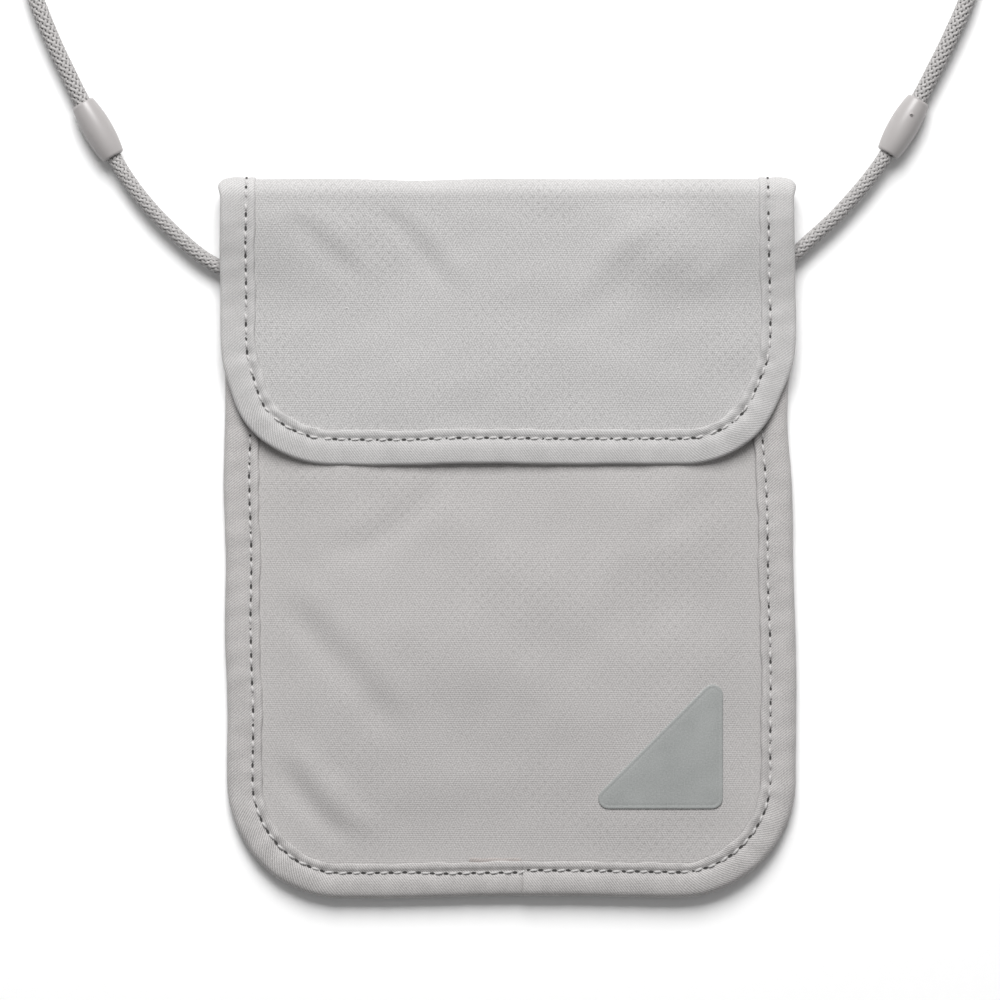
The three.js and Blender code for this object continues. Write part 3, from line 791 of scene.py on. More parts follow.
def tape_along(edge, heights, thickness, pinch, seed, seam_at=None, corner_waves=0.0):
    """Sweeps the tape's profile along an outline. heights(x, y) gives its underside and top."""
    path, normals, lengths = tape_path(edge)
    rows = tape_profile(thickness, pinch)
    columns = len(rows)
    calm = smoothstep(np.minimum(lengths, lengths[-1] - lengths) / 6)[:, None]
    inset = np.tile(rows[:, 0], (len(path), 1))
    along = np.tile(lengths[:, None], (1, columns))
    share = inset / TAPE_WIDTH
    on_top = np.where(rows[:, 1] > 0.5, 1.0, 0.3)[None, :]
    wave = 0.10 * np.sin(along * 0.21 + seed) + 0.07 * np.sin(along * 0.47 + 2 * seed)
    lip_wave = 0.13 * np.sin(along * 0.33 + 3 * seed) + 0.10 * np.sin(along * 0.83 + seed)
    inset = inset + calm * (wave * (1 - share) * 0.3 + lip_wave * smoothstep((share - 0.85) / 0.15))
    x = path[:, 0, None] + normals[:, 0, None] * inset
    y = path[:, 1, None] + normals[:, 1, None] * inset
    low, high = heights(x, y)
    z = low + rows[None, :, 1] * (high - low) + rows[None, :, 2]
    heading = np.unwrap(np.arctan2(normals[:, 1], normals[:, 0]))
    turning = np.clip(np.abs(np.gradient(heading, lengths)) * 26, 0, 1)[:, None] * corner_waves
    z = z + on_top * pucker(along, inset)
    z = z + calm * on_top * 0.06 * np.sin(along * 1.05 + seed + 2 * share)
    ripple = 0.5 * np.sin(TAU * along / 4.6 + seed) + 0.5 * np.sin(TAU * along / 7.3 + 2 * seed)
    z = z + on_top * turning * 0.29 * ripple * smoothstep((share - 0.25) / 0.6) * (share < 0.98)
    if seam_at is not None:
        z = z + on_top * JOIN_STEP * smoothstep((along - seam_at) / JOIN_WIDTH + 0.5)
        z = z - on_top * 0.50 * bell(along, seam_at - 0.14, 0.11) * (share > 0.1)
    points = np.stack([x, y, z], 2).reshape(-1, 3)
    uvs = np.stack([np.tile(rows[:, 3], (len(path), 1)), along], 2).reshape(-1, 2)
    faces = grid_faces(len(path), columns) + end_caps(len(points), columns)
    return points, turned_over(faces), uvs


def cord_bulge(x, y):
    """The tape swells where the cord is sewn into the side seam."""
    at_left = np.hypot(x + 69, y - 66)
    at_right = np.hypot(x - 69.5, y - 68.5)
    return 1.95 * bell(np.minimum(at_left, at_right), 0, 5.0)


BODY_TAPE_TOP = 3.8
BODY_PINCH = 0.62
FLAP_TAPE_LIFT = 0.66
FLAP_TAPE_DROP = 1.3
FLAP_PINCH = 0.50


def body_tape_heights(x, y):
    return 0.05 + edge_lift(y), BODY_TAPE_TOP + edge_lift(y) + cord_bulge(x, y)


def flap_tape_heights(x, y):
    z = flap_height(x, y)
    return z - FLAP_TAPE_DROP, z + FLAP_TAPE_LIFT


def make_tapes():
    path, _, lengths = tape_path(BODY_EDGE)
    join = int(np.argmin(np.abs(path[:, 0] - TAPE_JOIN_X) + 100 * (path[:, 1] > -80)))
    points, faces, uvs = tape_along(
        BODY_EDGE, body_tape_heights, 3.7, BODY_PINCH, 1.3, seam_at=lengths[join], corner_waves=0.8)
    body = make_mesh("body_tape", points, faces, "tape", uvs, flat_last=2)
    placed(body, "pouch", "edge_tape", "body_binding")
    points, faces, uvs = tape_along(
        FLAP_EDGE, flap_tape_heights, FLAP_TAPE_DROP + FLAP_TAPE_LIFT, FLAP_PINCH, 2.1, corner_waves=1.0)
    # the flap's tape takes the lighter tape copy: painted light
    flap = make_mesh("flap_tape", points, faces[:-2], "flap_tape", uvs)
    placed(flap, "flap", "edge_tape", "flap_binding")


def make_tuck():
    """A sliver of the tape's turned-in end shows along its lip beside the join."""
    steps = 28
    section = ((-0.6, -0.2), (0.2, 0.30), (0.8, 0.32), (1.15, 0.22), (1.25, -0.3))
    points, uvs = [], []
    for x in np.linspace(-9.6, TAPE_JOIN_X - 0.4, steps):
        for across, height in section:
            y = BODY_BOTTOM_Y + TAPE_WIDTH + across + 0.08 * math.sin(x * 1.3)
            points.append((x, y, float(front_height(x, y)) + height))
            uvs.append((across, x))
    piece = make_mesh("edge_tape_tuck", points, grid_faces(steps, len(section)), "tuck", uvs)
    placed(piece, "pouch", "edge_tape")


# ---- stitches ----
THREAD, HOLE = 0, 1        # the look numbers within a stitch row
THREAD_RADIUS = 0.30
HOLE_WIDTH = 0.64


def stitch_parts(place, ahead, up, length, radius):
    """One arched stitch of sewing thread, as a rounded capsule."""
    side = np.cross(up, ahead)
    rings, sides = 7, 8
    points, uvs = [], []
    for i in range(rings):
        t = -1 + 2 * i / (rings - 1)
        swell = math.sqrt(max(0.0, 1 - (abs(t) ** 3.2)))
        r = radius * (0.25 + 0.75 * swell)
        arch = radius * (0.95 - 1.5 * t * t * abs(t))
        centre = place + ahead * (t * length / 2) + up * arch
        for a in circle(sides):
            points.append(centre + side * (r * math.cos(a)) + up * (r * math.sin(a) * 0.85))
            uvs.append((r * a, t * length / 2))
    faces = grid_faces(rings, sides, closed=True) + end_caps(len(points), sides)
    return points, faces, uvs, THREAD


def hole_parts(place, ahead, up, length):
    """A needle hole: a shallow dimple, coloured dark as painted shade."""
    side = np.cross(up, ahead)
    sides = 10
    points, uvs = [place + up * 0.07], [(0, 0)]
    for a in circle(sides):
        out = ahead * (length / 2 * math.cos(a)) + side * (HOLE_WIDTH / 2 * math.sin(a))
        points.append(place + out + up * 0.09)
        uvs.append((math.cos(a), math.sin(a)))
    faces = [(0, 1 + j, 1 + (j + 1) % sides) for j in range(sides)]
    return points, faces, uvs, HOLE


def stitch_row(name, path, body=None, ups=None, hole_length=1.35):
    """A row of stitches along a 3-D path, with the surface's normal at each point (+Z if not given)."""
    if ups is None:
        ups = np.tile([0.0, 0, 1], (len(path), 1))
    lengths = distance_along(path)
    rng = random.Random(name)
    parts = []
    for k in range(int(lengths[-1] / STITCH_PITCH)):
        at = (k + 0.5) * STITCH_PITCH
        before, here, after = [
            np.array([np.interp(at + d, lengths, path[:, c]) for c in range(3)]) for d in (-0.6, 0, 0.6)]
        up = unit(np.array([np.interp(at, lengths, ups[:, c]) for c in range(3)]))
        ahead = unit(after - before)
        up = unit(up - ahead * up.dot(ahead))
        lean = np.cross(up, ahead) * rng.uniform(0.02, 0.2)
        place = here + np.cross(up, ahead) * rng.uniform(-0.06, 0.06)
        length = STITCH_LENGTH * rng.uniform(0.93, 1.06)
        radius = THREAD_RADIUS * rng.uniform(0.93, 1.08)
        parts.append(stitch_parts(place + up * 0.05, unit(ahead + lean), up, length, radius))
        parts.append(hole_parts(place + ahead * STITCH_PITCH / 2, ahead, up, hole_length))
    points, faces, uvs, looks = merged(parts)
    return placed(make_mesh(name, points, faces, ["thread", "hole"], uvs, looks), body, "edge_tape")


def make_edge_stitches():
    path, normals, _ = tape_path(BODY_EDGE)
    x, y = (path + normals * STITCH_IN).T
    z = BODY_TAPE_TOP + edge_lift(path[:, 1]) + cord_bulge(x, y) - BODY_PINCH
    past_join = smoothstep((x - TAPE_JOIN_X) / JOIN_WIDTH + 0.5) * (y < -70)
    past_join = np.where((x > 20) & (y > -82), 1.0, past_join)
    z = z + JOIN_STEP * past_join
    before_join = (y < -70) & (x < TAPE_JOIN_X)
    lower = before_join * smoothstep((x + 26) / 12)
    z = z + 0.36 * lower
    stitch_row("body_stitches", np.stack([x, y - 0.5 * lower, z], 1), "pouch")
    path, normals, _ = tape_path(FLAP_EDGE)
    x, y = (path + normals * STITCH_IN).T
    z = flap_height(x, y) + FLAP_TAPE_LIFT - FLAP_PINCH
    stitch_row("flap_stitches", np.stack([x, y, z], 1), "flap")


# ---- flap and fold ----
def make_flap():
    grid = panel_grid(FLAP_EDGE, 1.8, FLAP_BOTTOM_Y, TOP_SEAM_Y, 131, 1.0)
    flat = (0.1424, 0.0657)
    cloth_sheet("flap_outer_cloth", grid, flap_height, FLAP_CLOTH, "fabric", "flap", "flap_outer",
                "pouch_fabric", flat=flat)
    inner = panel_grid(FLAP_EDGE, 2.2, FLAP_BOTTOM_Y, TOP_SEAM_Y, 71, 1.8)
    cloth_sheet("flap_lining_cloth", inner, lambda x, y: flap_height(x, y) - 0.55, LINING, "lining", "flap",
                "flap_lining", "lining_fabric", flat=flat)


def fold_arc(steps):
    """The fold's outer line in (y, z) with outward normals, from the back up to the flap."""
    radius = (FOLD_TOP_Z - FOLD_BOTTOM_Z) / 2
    middle = (FOLD_TOP_Z + FOLD_BOTTOM_Z) / 2
    line = [(TOP_SEAM_Y, FOLD_BOTTOM_Z, 0.0, -1.0)]
    for k in range(steps + 1):
        a = -math.pi / 2 + math.pi * k / steps
        y, z = math.cos(a), math.sin(a)
        line.append((FOLD_CENTRE_Y + radius * y, middle + radius * z, y, z))
    line.append((TOP_SEAM_Y, FOLD_TOP_Z, 0.0, 1.0))
    line = np.array(line)
    return line, distance_along(line[:, :2])


def top_edge_dip(x):
    """How far the fold sits back along the top edge."""
    return -0.35 * bell(x, -22, 11) + 0.12 * wobble(x, 0 * x, 40, 51)


def make_fold():
    line, along = fold_arc(22)
    left, right = FLAP_EDGE[0, 0], FLAP_EDGE[-1, 0]
    xs = np.linspace(left + 1.8, right - 1.8, 131)
    outer, inner, uvs = [], [], []
    for x in xs:
        dip = float(top_edge_dip(x))
        for k, (y, z, ny, nz) in enumerate(line):
            shift = dip * max(0.0, ny)
            outer.append((x, y + shift, z))
            inner.append((x, y + shift - ny * FLAP_CLOTH, z - nz * FLAP_CLOTH))
            uvs.append((x, TOP_SEAM_Y + along[-1] - along[k]))
    faces = grid_faces(len(xs), len(line))
    faces = faces + turned_over(faces, len(outer))
    piece = make_mesh("fold_cloth", outer + inner, faces, "fabric", uvs + uvs)
    placed(piece, None, "pouch_fabric", "flap_fold")
    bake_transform(piece)


def make_fold_tapes():
    """The tape's run over the fold at each end, and its stitches."""
    line, along = fold_arc(26)
    height = FLAP_TAPE_DROP + FLAP_TAPE_LIFT
    profile = tape_profile(height, FLAP_PINCH)
    for word, x0, side in (("left", FLAP_EDGE[0, 0], 1), ("right", FLAP_EDGE[-1, 0], -1)):
        points, uvs = [], []
        for k, (y, z, ny, nz) in enumerate(line):
            behind = max(0.0, ny)
            for inset, height_share, extra, across in profile:
                rise = height * height_share - FLAP_TAPE_DROP + extra
                rise = rise * (1 - 0.35 * behind)
                round_off = 1.1 * behind * math.exp(-inset / 1.1)
                flare = 1.2 * behind * max(0.0, nz) * math.exp(-inset / 4)
                lift = rise + pucker(along[-1] - along[k], inset) - round_off
                points.append((x0 + side * (inset - flare), y + ny * lift, max(0.06, z + nz * lift)))
                uvs.append((across, side * (along[k] - along[-1])))
        faces = grid_faces(len(line), len(profile))
        if side > 0:
            faces = turned_over(faces)
        piece = placed(make_mesh(f"fold_tape_{word}", points, faces, "flap_tape", uvs), None, "edge_tape")
        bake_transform(piece)
        x = x0 + side * STITCH_IN
        path = np.array([(x, y + ny * 0.03, max(0.3, z + nz * 0.16)) for y, z, ny, nz in line])
        ups = np.array([(0, ny, nz) for _, _, ny, nz in line])
        row = stitch_row(f"fold_stitches_{word}", path[::-1], ups=ups[::-1], hole_length=0.8)
        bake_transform(row)


# ---- corner patch, hem, hook-and-loop ----
def rounded_polygon(corners, radius, per_corner=10):
    """A convex polygon with rounded corners, counter-clockwise."""
    points = []
    corners = np.array(corners, float)
    for i, p in enumerate(corners):
        a = unit(corners[i - 1] - p)
        b = unit(corners[(i + 1) % len(corners)] - p)
        half = math.acos(np.clip(a.dot(b), -1, 1)) / 2
        centre = p + unit(a + b) * radius / math.sin(half)
        start = p + a * radius / math.tan(half) - centre
        end = p + b * radius / math.tan(half) - centre
        a0 = math.atan2(start[1], start[0])
        a1 = math.atan2(end[1], end[0])
        if a1 < a0:
            a1 += TAU
        for k in range(per_corner + 1):
            t = a0 + (a1 - a0) * k / per_corner
            points.append(centre + radius * np.array([math.cos(t), math.sin(t)]))
    return np.array(points)


def domed_patch(name, ring, profile, surface, look, body, node, slot):
    """A flat patch with a shaped rim that follows a surface. profile holds (inset, height) steps."""
    ring = resampled(np.vstack([ring, ring[:1]]), 0.7)[:-1]
    ahead = unit(np.roll(ring, -1, 0) - np.roll(ring, 1, 0))
    inward = np.stack([-ahead[:, 1], ahead[:, 0]], 1)
    count = len(ring)
    centre = ring.mean(0)
    rows = [(ring + inward * inset, height) for inset, height in profile]
    last_flat, last_height = rows[-1]
    for share in (0.8, 0.6, 0.4, 0.2, 0.05):
        rows.append((centre + (last_flat - centre) * share, last_height))
    points, uvs = [], []
    for flat, height in rows:
        z = surface(flat[:, 0], flat[:, 1]) + height
        points.extend(np.stack([flat[:, 0], flat[:, 1], z], 1))
        uvs.extend(flat)
    faces = grid_faces(len(rows), count, closed=True)
    faces.append(tuple(range((len(rows) - 1) * count, len(rows) * count)))
    return placed(make_mesh(name, points, faces, look, uvs), body, slot, node)


def make_patch():
    """A blank triangle of rubber in the lower right corner."""
    x, y, side = 53.9, -67.6, 34.9
    ring = rounded_polygon([(x - side, y), (x, y), (x, y + side)], 2.6)
    profile = [(0.0, -0.05), (0.0, 0.20), (0.06, 0.29), (0.2, 0.34), (0.45, 0.35), (0.7, 0.34),
               (0.85, 0.31), (1.0, 0.31), (1.2, 0.34), (1.7, 0.35), (2.3, 0.35)]
    domed_patch("corner_patch_rubber", ring, profile, front_height, "rubber", "pouch",
                "corner_patch", "patch_rubber")


def make_closure():
    """Loop tape on the front panel and hook tape under the flap."""
    ring = rounded_polygon([(-20, 30), (20, 30), (20, 44), (-20, 44)], 2.0, 6)
    profile = [(0.0, 0.0), (0.0, 0.2), (0.25, 0.34), (0.8, 0.4), (2.0, 0.4)]
    domed_patch("loop_patch_pile", ring, profile, front_height, "loop", "pouch", "loop_patch",
                "hook_and_loop")
    under = [(i, -h) for i, h in profile]
    piece = domed_patch("hook_patch_pile", ring, under, lambda x, y: flap_height(x, y) - 0.78, "hook",
                        "flap", "hook_patch", "hook_and_loop")
    piece.data.flip_normals()


def make_hem():
    """The rolled tape over the front pocket's mouth."""
    xs = np.linspace(-62.2, 62.2, 125)
    y_middle = POCKET_MOUTH_Y + 1.1
    points, uvs = [], []
    sides = 12
    for x in xs:
        z = float(front_height(x, POCKET_MOUTH_Y)) - 0.2
        for a in circle(sides):
            points.append((x, y_middle + 1.35 * math.cos(a) * (1 + 0.1 * math.sin(x * 0.9)),
                           z + 0.52 * math.sin(a) + 0.03 * math.sin(x * 1.7)))
            uvs.append((a, x))
    faces = grid_faces(len(xs), sides, closed=True) + end_caps(len(points), sides)
    piece = make_mesh("pocket_mouth_tape", points, faces, "tape", uvs)
    placed(piece, "pouch", "edge_tape", "pocket_mouth_hem")
    path = np.array([(x, y_middle - 0.9, float(front_height(x, POCKET_MOUTH_Y)) + 0.12) for x in xs])
    stitch_row("pocket_mouth_stitches", path, "pouch")


# ---- zip ----
ZIP_Y = 75.0


def make_coil(word, side):
    """One side's teeth: a flattened coil of nylon wire along its tape."""
    x0, x1 = -54.0, 58.0
    pitch, steps, sides, wire = 1.15, 14, 6, 0.24
    turns = int((x1 - x0) / pitch)
    y_in, y_out = ZIP_Y - side * 0.05, ZIP_Y + side * 2.35
    middle, reach = (y_in + y_out) / 2, (y_out - y_in) / 2
    offset = pitch / 2 if side < 0 else 0.0
    centres = []
    for k in range(turns * steps):
        a = TAU * k / steps
        x = x0 + 0.4 + offset + pitch * k / steps
        head = 0.22 * math.cos(2 * a)
        centres.append((x + head * 0.5, middle - reach * math.cos(a), 2.98 + 0.42 * math.sin(a)))
    centres = np.array(centres)
    points, uvs = [], []
    for c, t in zip(centres, unit(np.gradient(centres, axis=0))):
        u = unit(np.cross(t, [1, 0, 0]))
        v = np.cross(t, u)
        for a in circle(sides):
            points.append(c + wire * (math.cos(a) * u + math.sin(a) * v))
            uvs.append((a, len(points) * 0.02))
    faces = grid_faces(len(centres), sides, closed=True)
    piece = make_mesh(f"zip_teeth_{word}", points, faces, "nylon", uvs)
    placed(piece, "pouch", "zip_nylon", f"zip_coil_{word}")


def make_zip_tape(word, side):
    """The woven tape under the teeth, with its sewn line."""
    xs = np.linspace(-61.4, 61.4, 90)
    across = np.linspace(0.9, 8.4, 9)
    grid = np.array([[(x, ZIP_Y + side * d) for x in xs] for d in across])
    if side < 0:
        grid = grid[::-1]
    points = [(x, y, 2.25 + 0.04 * math.sin(x * 0.5)) for row in grid for x, y in row]
    under = [(x, y, z - 0.25) for x, y, z in points]
    faces = grid_faces(len(across), len(xs))
    faces = faces + turned_over(faces, len(points))
    uvs = [(p[0], p[1]) for p in points + under]
    piece = make_mesh(f"zip_tape_{word}_weave", points + under, faces, "tape", uvs)
    placed(piece, "pouch", "edge_tape", f"zip_tape_{word}")
    stitch_z = 2.62 if side < 0 else 3.05
    path = np.array([(x, ZIP_Y + side * 5.5, stitch_z) for x in np.linspace(-60.5, 60.5, 160)])
    stitch_row(f"zip_stitches_{word}", path, "pouch")


def make_zip():
    for word, side in (("upper", 1), ("lower", -1)):
        make_coil(word, side)
        make_zip_tape(word, side)
    for node in ("zip_slider", "zip_pull", "zip_top_stop_upper", "zip_top_stop_lower", "zip_bottom_stop"):
        dress(node, "metal")


def dress(node, look):
    """Gives a carried-over CAD node a better material."""
    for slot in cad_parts[node].material_slots:
        slot.material = LOOKS[look]


# ---- cord ----
LEFT_ROUTE = [
    (-69.0, 66.5, 3.4), (-71.4, 67.7, 3.4), (-75.2, 69.8, 3.45), (-78.6, 72.3, 3.5),
    (-84.1, 77.3, 3.6), (-89.0, 82.3, 3.7), (-93.4, 87.7, 3.75), (-96.8, 92.7, 3.75),
    (-99.8, 97.8, 3.75), (-102.6, 102.5, 3.75), (-105.3, 107.3, 3.75), (-107.9, 112.1, 3.75),
    (-110.3, 117.1, 3.75), (-112.7, 122.0, 3.75), (-114.7, 126.6, 3.75), (-116.6, 131.2, 3.75),
    (-119.0, 138.0, 3.3), (-119.9, 145.5, 2.6), (-117.6, 152.9, 2.2), (-112.4, 158.9, 2.1),
    (-105.0, 162.6, 2.1), (-96.0, 163.8, 2.1), (-84.0, 163.8, 2.2), (-66.0, 163.8, 2.8),
    (-49.3, 163.8, 2.9)]
RIGHT_ROUTE = [
    (69.3, 68.8, 3.4), (71.9, 71.2, 3.4), (75.7, 74.8, 3.45), (81.2, 79.8, 3.5),
    (85.9, 84.8, 3.6), (90.0, 89.6, 3.75), (93.3, 94.0, 3.75), (96.3, 98.5, 3.75),
    (99.1, 103.3, 3.75), (101.9, 108.1, 3.75), (104.5, 112.9, 3.75), (107.0, 117.8, 3.75),
    (109.5, 122.7, 3.75), (111.6, 127.2, 3.75), (113.7, 131.8, 3.75), (116.2, 138.5, 3.2),
    (117.2, 146.0, 2.5), (114.9, 153.2, 2.2), (109.6, 159.1, 2.1), (102.2, 162.7, 2.1),
    (93.0, 163.8, 2.4), (82.0, 163.8, 3.6), (70.0, 163.8, 5.6), (60.0, 163.8, 6.9),
    (49.3, 163.8, 7.1)]
HANK_RUN = 69.0
HANK_Y = 181.0
HANK_LANES = [(17.2, 2.9), (13.0, 2.9), (13.0, 7.1), (17.2, 7.1)]


def spline(points, step):
    """A centripetal Catmull-Rom curve through the points, sampled about step apart."""
    def between(a, b, ta, tb, t):
        return (tb - t) / (tb - ta) * a + (t - ta) / (tb - ta) * b

    p = np.asarray(points, float)
    p = np.vstack([2 * p[0] - p[1], p, 2 * p[-1] - p[-2]])
    out = []
    for i in range(1, len(p) - 2):
        p0, p1, p2, p3 = p[i - 1:i + 3]
        t1 = np.linalg.norm(p1 - p0) ** 0.5
        t2 = t1 + np.linalg.norm(p2 - p1) ** 0.5
        t3 = t2 + np.linalg.norm(p3 - p2) ** 0.5
        for t in np.linspace(t1, t2, 12, endpoint=False):
            a1 = between(p0, p1, 0, t1, t)
            a2 = between(p1, p2, t1, t2, t)
            a3 = between(p2, p3, t2, t3, t)
            out.append(between(between(a1, a2, 0, t2, t), between(a2, a3, t1, t3, t), t1, t2, t))
    out.append(p[-2])
    return resampled(np.array(out), step)


def hank_route():
    """Three turns between the two loose runs, each on its own lane."""
    half = HANK_RUN / 2
    points = []
    for turn in range(3):
        radius, z = HANK_LANES[turn]
        next_radius, next_z = HANK_LANES[turn + 1]
        for x in np.linspace(-half, half, 12):
            points.append((x, HANK_Y - radius, z))
        for a in np.linspace(-math.pi / 2, math.pi / 2, 13)[1:-1]:
            points.append((half + radius * math.cos(a), HANK_Y + radius * math.sin(a), z))
        for x in np.linspace(half, -half, 12):
            points.append((x, HANK_Y + radius, z))
        for a in np.linspace(0, math.pi, 13)[1:-1]:
            s = float(smoothstep(a / math.pi))
            r = radius + (next_radius - radius) * s
            points.append((-half - r * math.sin(a), HANK_Y + r * math.cos(a), z + (next_z - z) * s))
    radius, z = HANK_LANES[-1]
    return points + [(x, HANK_Y - radius, z) for x in np.linspace(-half, half, 12)]


def cord_centreline():
    """The whole cord, from the left seam round the hank to the right seam."""
    left = list(spline(LEFT_ROUTE, 2.0))
    right = list(spline(RIGHT_ROUTE, 2.0))[::-1]
    route = left[:-1] + [np.array(p, float) for p in hank_route()] + right[1:]
    return resampled(softened(resampled(np.array(route), 1.0), 3), 0.31)


def carried_frames(path):
    """Two vectors across the path at each point, turning as little as possible."""
    ahead = unit(np.gradient(path, axis=0))
    across = np.zeros_like(path)
    side = unit(np.cross(ahead[0], UP))
    for k, t in enumerate(ahead):
        side = unit(side - t * side.dot(t))
        across[k] = side
    return across, np.cross(ahead, across)


def cord_radius(path):
    """A little fuller beyond the beads than between the beads and the pouch."""
    fuller = smoothstep((path[:, 1] - 95) / 16)
    return 2.0 * (0.93 + 0.13 * fuller)


def make_cord():
    """A braid of flat yarns, eight each way, over a core coloured dark as painted shade in the gaps between
    the yarns. The hidden part has fewer points.
    """
    path = cord_centreline()
    across, up = carried_frames(path)
    lengths = distance_along(path)
    radius = cord_radius(path)
    fine = (path[:, 1] <= 142) | (np.arange(len(path)) % 3 == 0)
    fine[[0, -1]] = True
    keep = np.nonzero(fine)[0]
    lead = 15.2
    carriers = 8
    half_width = 0.44
    section = ((-1.0, -0.10), (-0.55, 0.16), (0.55, 0.16), (1.0, -0.10))
    parts = []
    for direction in (1, -1):
        for strand in range(carriers):
            points, uvs = [], []
            for k in keep:
                turn = direction * TAU * lengths[k] / lead + TAU * strand / carriers
                crossing = 2 * carriers * lengths[k] / lead + strand * 2
                base = radius[k] - 0.30 + 0.13 * direction * math.cos(math.pi * crossing)
                for w, h in section:
                    a = turn + direction * w * half_width / radius[k] * 1.28
                    points.append(on_ring(path[k], across[k], up[k], base + h, a))
                    uvs.append((w * half_width, lengths[k]))
            faces = grid_faces(len(keep), len(section))
            parts.append((points, faces if direction > 0 else turned_over(faces), uvs, 0))
    # the core tube's dark colour is painted shade that shows in the gaps between the yarns
    points, uvs = [], []
    sides = 12
    core = keep[::2] if keep[::2][-1] == keep[-1] else np.r_[keep[::2], keep[-1]]
    for k in core:
        r = radius[k] - 0.50
        for a in circle(sides):
            points.append(on_ring(path[k], across[k], up[k], r, a))
            uvs.append((r * a, lengths[k]))
    faces = grid_faces(len(core), sides, closed=True) + end_caps(len(points), sides)
    parts.append((points, faces, uvs, 1))
    points, faces, uvs, looks = merged(parts)
    cord = make_mesh("neck_cord_braid", points, faces, ["braid", "braid_core"], uvs, looks)
    return placed(cord, "pouch", "cord_braid", "neck_cord_left", "neck_cord_right", "cord_hank"), path


def make_band():
    """A woven strap round the middle of the hank."""
    low, high, reach = 0.3, 9.7, 19.8
    section = rounded_polygon([(HANK_Y - reach, low), (HANK_Y + reach, low),
                               (HANK_Y + reach, high), (HANK_Y - reach, high)], 2.2, 8)
    ring = resampled(np.vstack([section, section[:1]]), 0.9)[:-1]
    xs = np.linspace(-6, 6, 13)
    ahead = unit(np.roll(ring, -1, 0) - np.roll(ring, 1, 0))
    outward = np.stack([ahead[:, 1], -ahead[:, 0]], 1)
    points, uvs = [], []
    for layer in (0.25, -0.2):
        for x in xs:
            edge = 0.12 * (abs(x) > 5.2)
            for k, (p, n) in enumerate(zip(ring, outward)):
                q = p + n * (layer - edge * np.sign(layer))
                points.append((x, q[0], q[1]))
                uvs.append((x, k * 0.9))
    columns = len(ring)
    count = len(xs) * columns
    faces = grid_faces(len(xs), columns, closed=True)
    faces = faces + turned_over(faces, count)
    for row in (0, len(xs) - 1):
        for k in range(columns):
            a, b = row * columns + k, row * columns + (k + 1) % columns
            faces.append((a, a + count, b + count, b) if row == 0 else (a, b, b + count, a + count))
    return placed(make_mesh("hank_strap", points, faces, "tape", uvs), "pouch", "edge_tape", "hank_band")


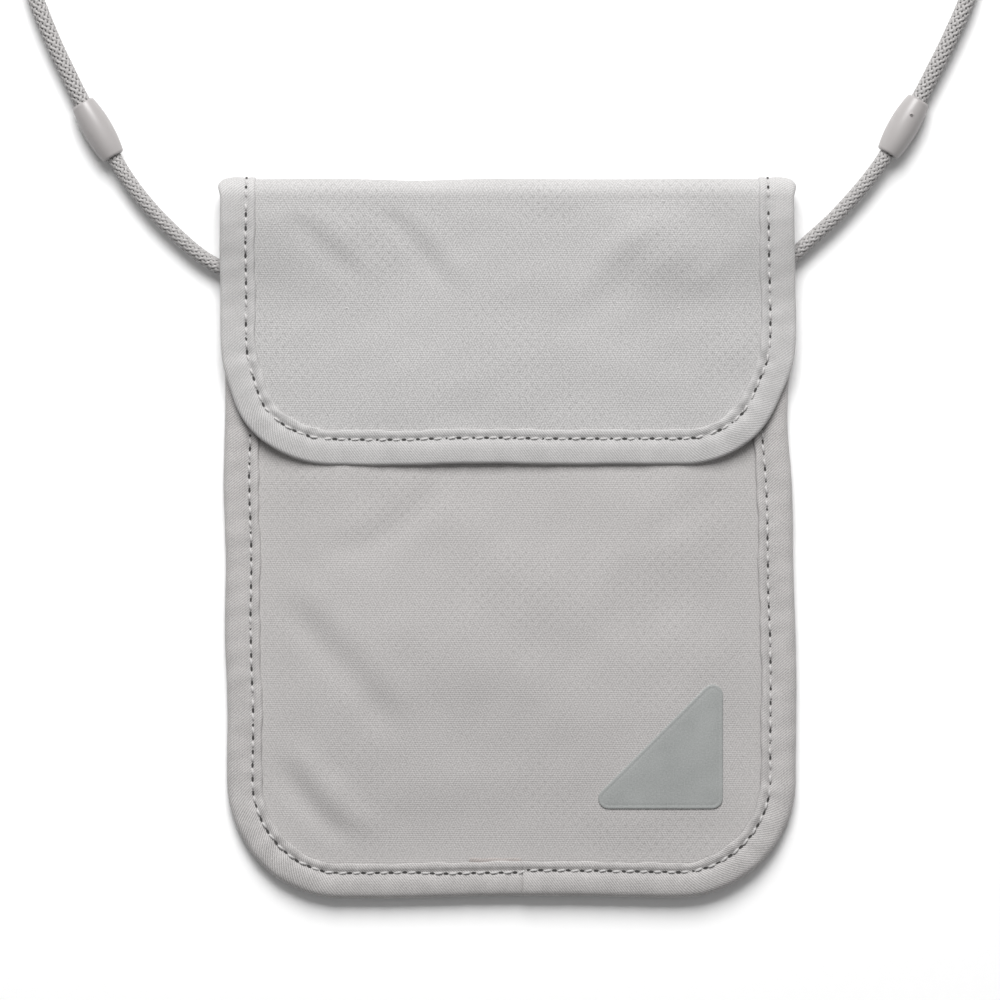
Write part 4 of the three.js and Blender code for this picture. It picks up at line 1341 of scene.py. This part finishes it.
def make_bead(name, centre, route, mark_side, gate_mark):
    """A barrel bead with a collar and chamfer at each end, a moulding line and maybe a gate mark."""
    centre = np.array(centre)
    path = spline(route, 0.5)
    nearest = int(np.argmin(np.linalg.norm(path - centre, axis=1)))
    ahead = path[nearest + 2] - path[nearest - 2]
    ahead[2] = 0
    ahead = unit(ahead)
    side = np.cross(ahead, UP)
    half = 7.8
    profile = [(2.2, -half + 1.2), (2.24, -half + 0.14), (2.34, -half)]
    for k in range(5):
        a = math.pi / 2 * k / 4
        profile.append((2.4 + 0.62 * math.sin(a), -half + 0.75 * (1 - math.cos(a))))
    for k in range(1, 24):
        t = -1 + 2 * k / 24
        profile.append((3.75 - 0.70 * abs(t) ** 2.0, t * (half - 0.8)))
    profile += [(r, -z) for r, z in reversed(profile[:8])]
    sides = 48
    points, uvs = [], []
    for r, along in profile:
        for a in circle(sides):
            line = 0.055 * math.exp(-((math.cos(a - mark_side) - 1) / 0.0035) ** 2)
            rr = r + (line if r > 2.9 and abs(along) < 6 else 0)
            points.append(on_ring(centre + ahead * along, side, UP, rr, a))
            uvs.append((a * 3, along))
    faces = turned_over(grid_faces(len(profile), sides, closed=True))
    looks = [0] * len(faces)
    # the end rings take the bore look: dark painted shade inside the bore
    looks[:sides] = looks[-sides:] = [1] * sides
    parts = [(points, faces, uvs, 0)]
    if gate_mark:
        spot = centre + ahead * 3.3 + side * 0.25 + UP * 3.5
        knob, knob_uv = [spot + UP * 0.17], [(0, 0)]
        for ring_r, ring_h in ((0.3, 0.16), (0.6, 0.10), (0.8, -0.1)):
            for a in circle(12):
                knob.append(on_ring(spot, ahead, side, ring_r, a) + UP * ring_h)
                knob_uv.append((a, ring_r))
        knob_faces = [(0, 1 + (j + 1) % 12, 1 + j) for j in range(12)]
        knob_faces += turned_over(grid_faces(3, 12, closed=True, start=1))
        parts.append((knob, knob_faces, knob_uv, 0))
        looks += [0] * len(knob_faces)
    points, faces, uvs, _ = merged(parts)
    piece = make_mesh(f"{name}_barrel", points, faces, ["plastic", "bore"], uvs, looks)
    return placed(piece, name, "bead_plastic", name)


def make_whippings():
    """The cord's thread-bound ends in the side seams."""
    steps, sides = 60, 14
    for word, route in (("left", LEFT_ROUTE), ("right", RIGHT_ROUTE)):
        start, second = np.array(route[0]), np.array(route[1])
        inward = unit(start - second)
        side = np.cross(inward, UP)
        points, uvs = [], []
        for k in range(steps):
            along = 0.3 + 6.3 * k / (steps - 1)
            for a in circle(sides):
                r = 1.55 + 0.16 * abs(math.sin(math.pi * along / 0.6 + a / 2))
                points.append(on_ring(start + inward * along - UP * 0.55, side, UP, r, a))
                uvs.append((a, along))
        faces = grid_faces(steps, sides, closed=True) + end_caps(len(points), sides)
        piece = make_mesh(f"cord_end_{word}", points, faces, "thread", uvs)
        placed(piece, "pouch", "cord_braid", f"cord_whipping_{word}")


# ---- floor ----
def make_floor():
    """A plain sheet, far larger than any view."""
    size = 6.0
    mesh = bpy.data.meshes.new("floor")
    corners = [(-size, -size, 0), (size, -size, 0), (size, size, 0), (-size, size, 0)]
    mesh.from_pydata(corners, [], [(0, 1, 2, 3)])
    mesh.materials.append(floor_material())
    linked("floor", mesh)


make_camera()
make_materials()
cord, cord_path = make_cord()
beads = [
    make_bead("bead_left", (-102.6, 102.5, 3.75), LEFT_ROUTE, 0.35, gate_mark=False),
    make_bead("bead_right", (99.1, 103.3, 3.75), RIGHT_ROUTE, 2.6, gate_mark=True),
]
band = make_band()
make_light()
make_floor()
make_whippings()
make_panels()
make_tapes()
make_tuck()
make_flap()
make_fold()
make_fold_tapes()
make_edge_stitches()
make_patch()
make_closure()
make_hem()
make_zip()
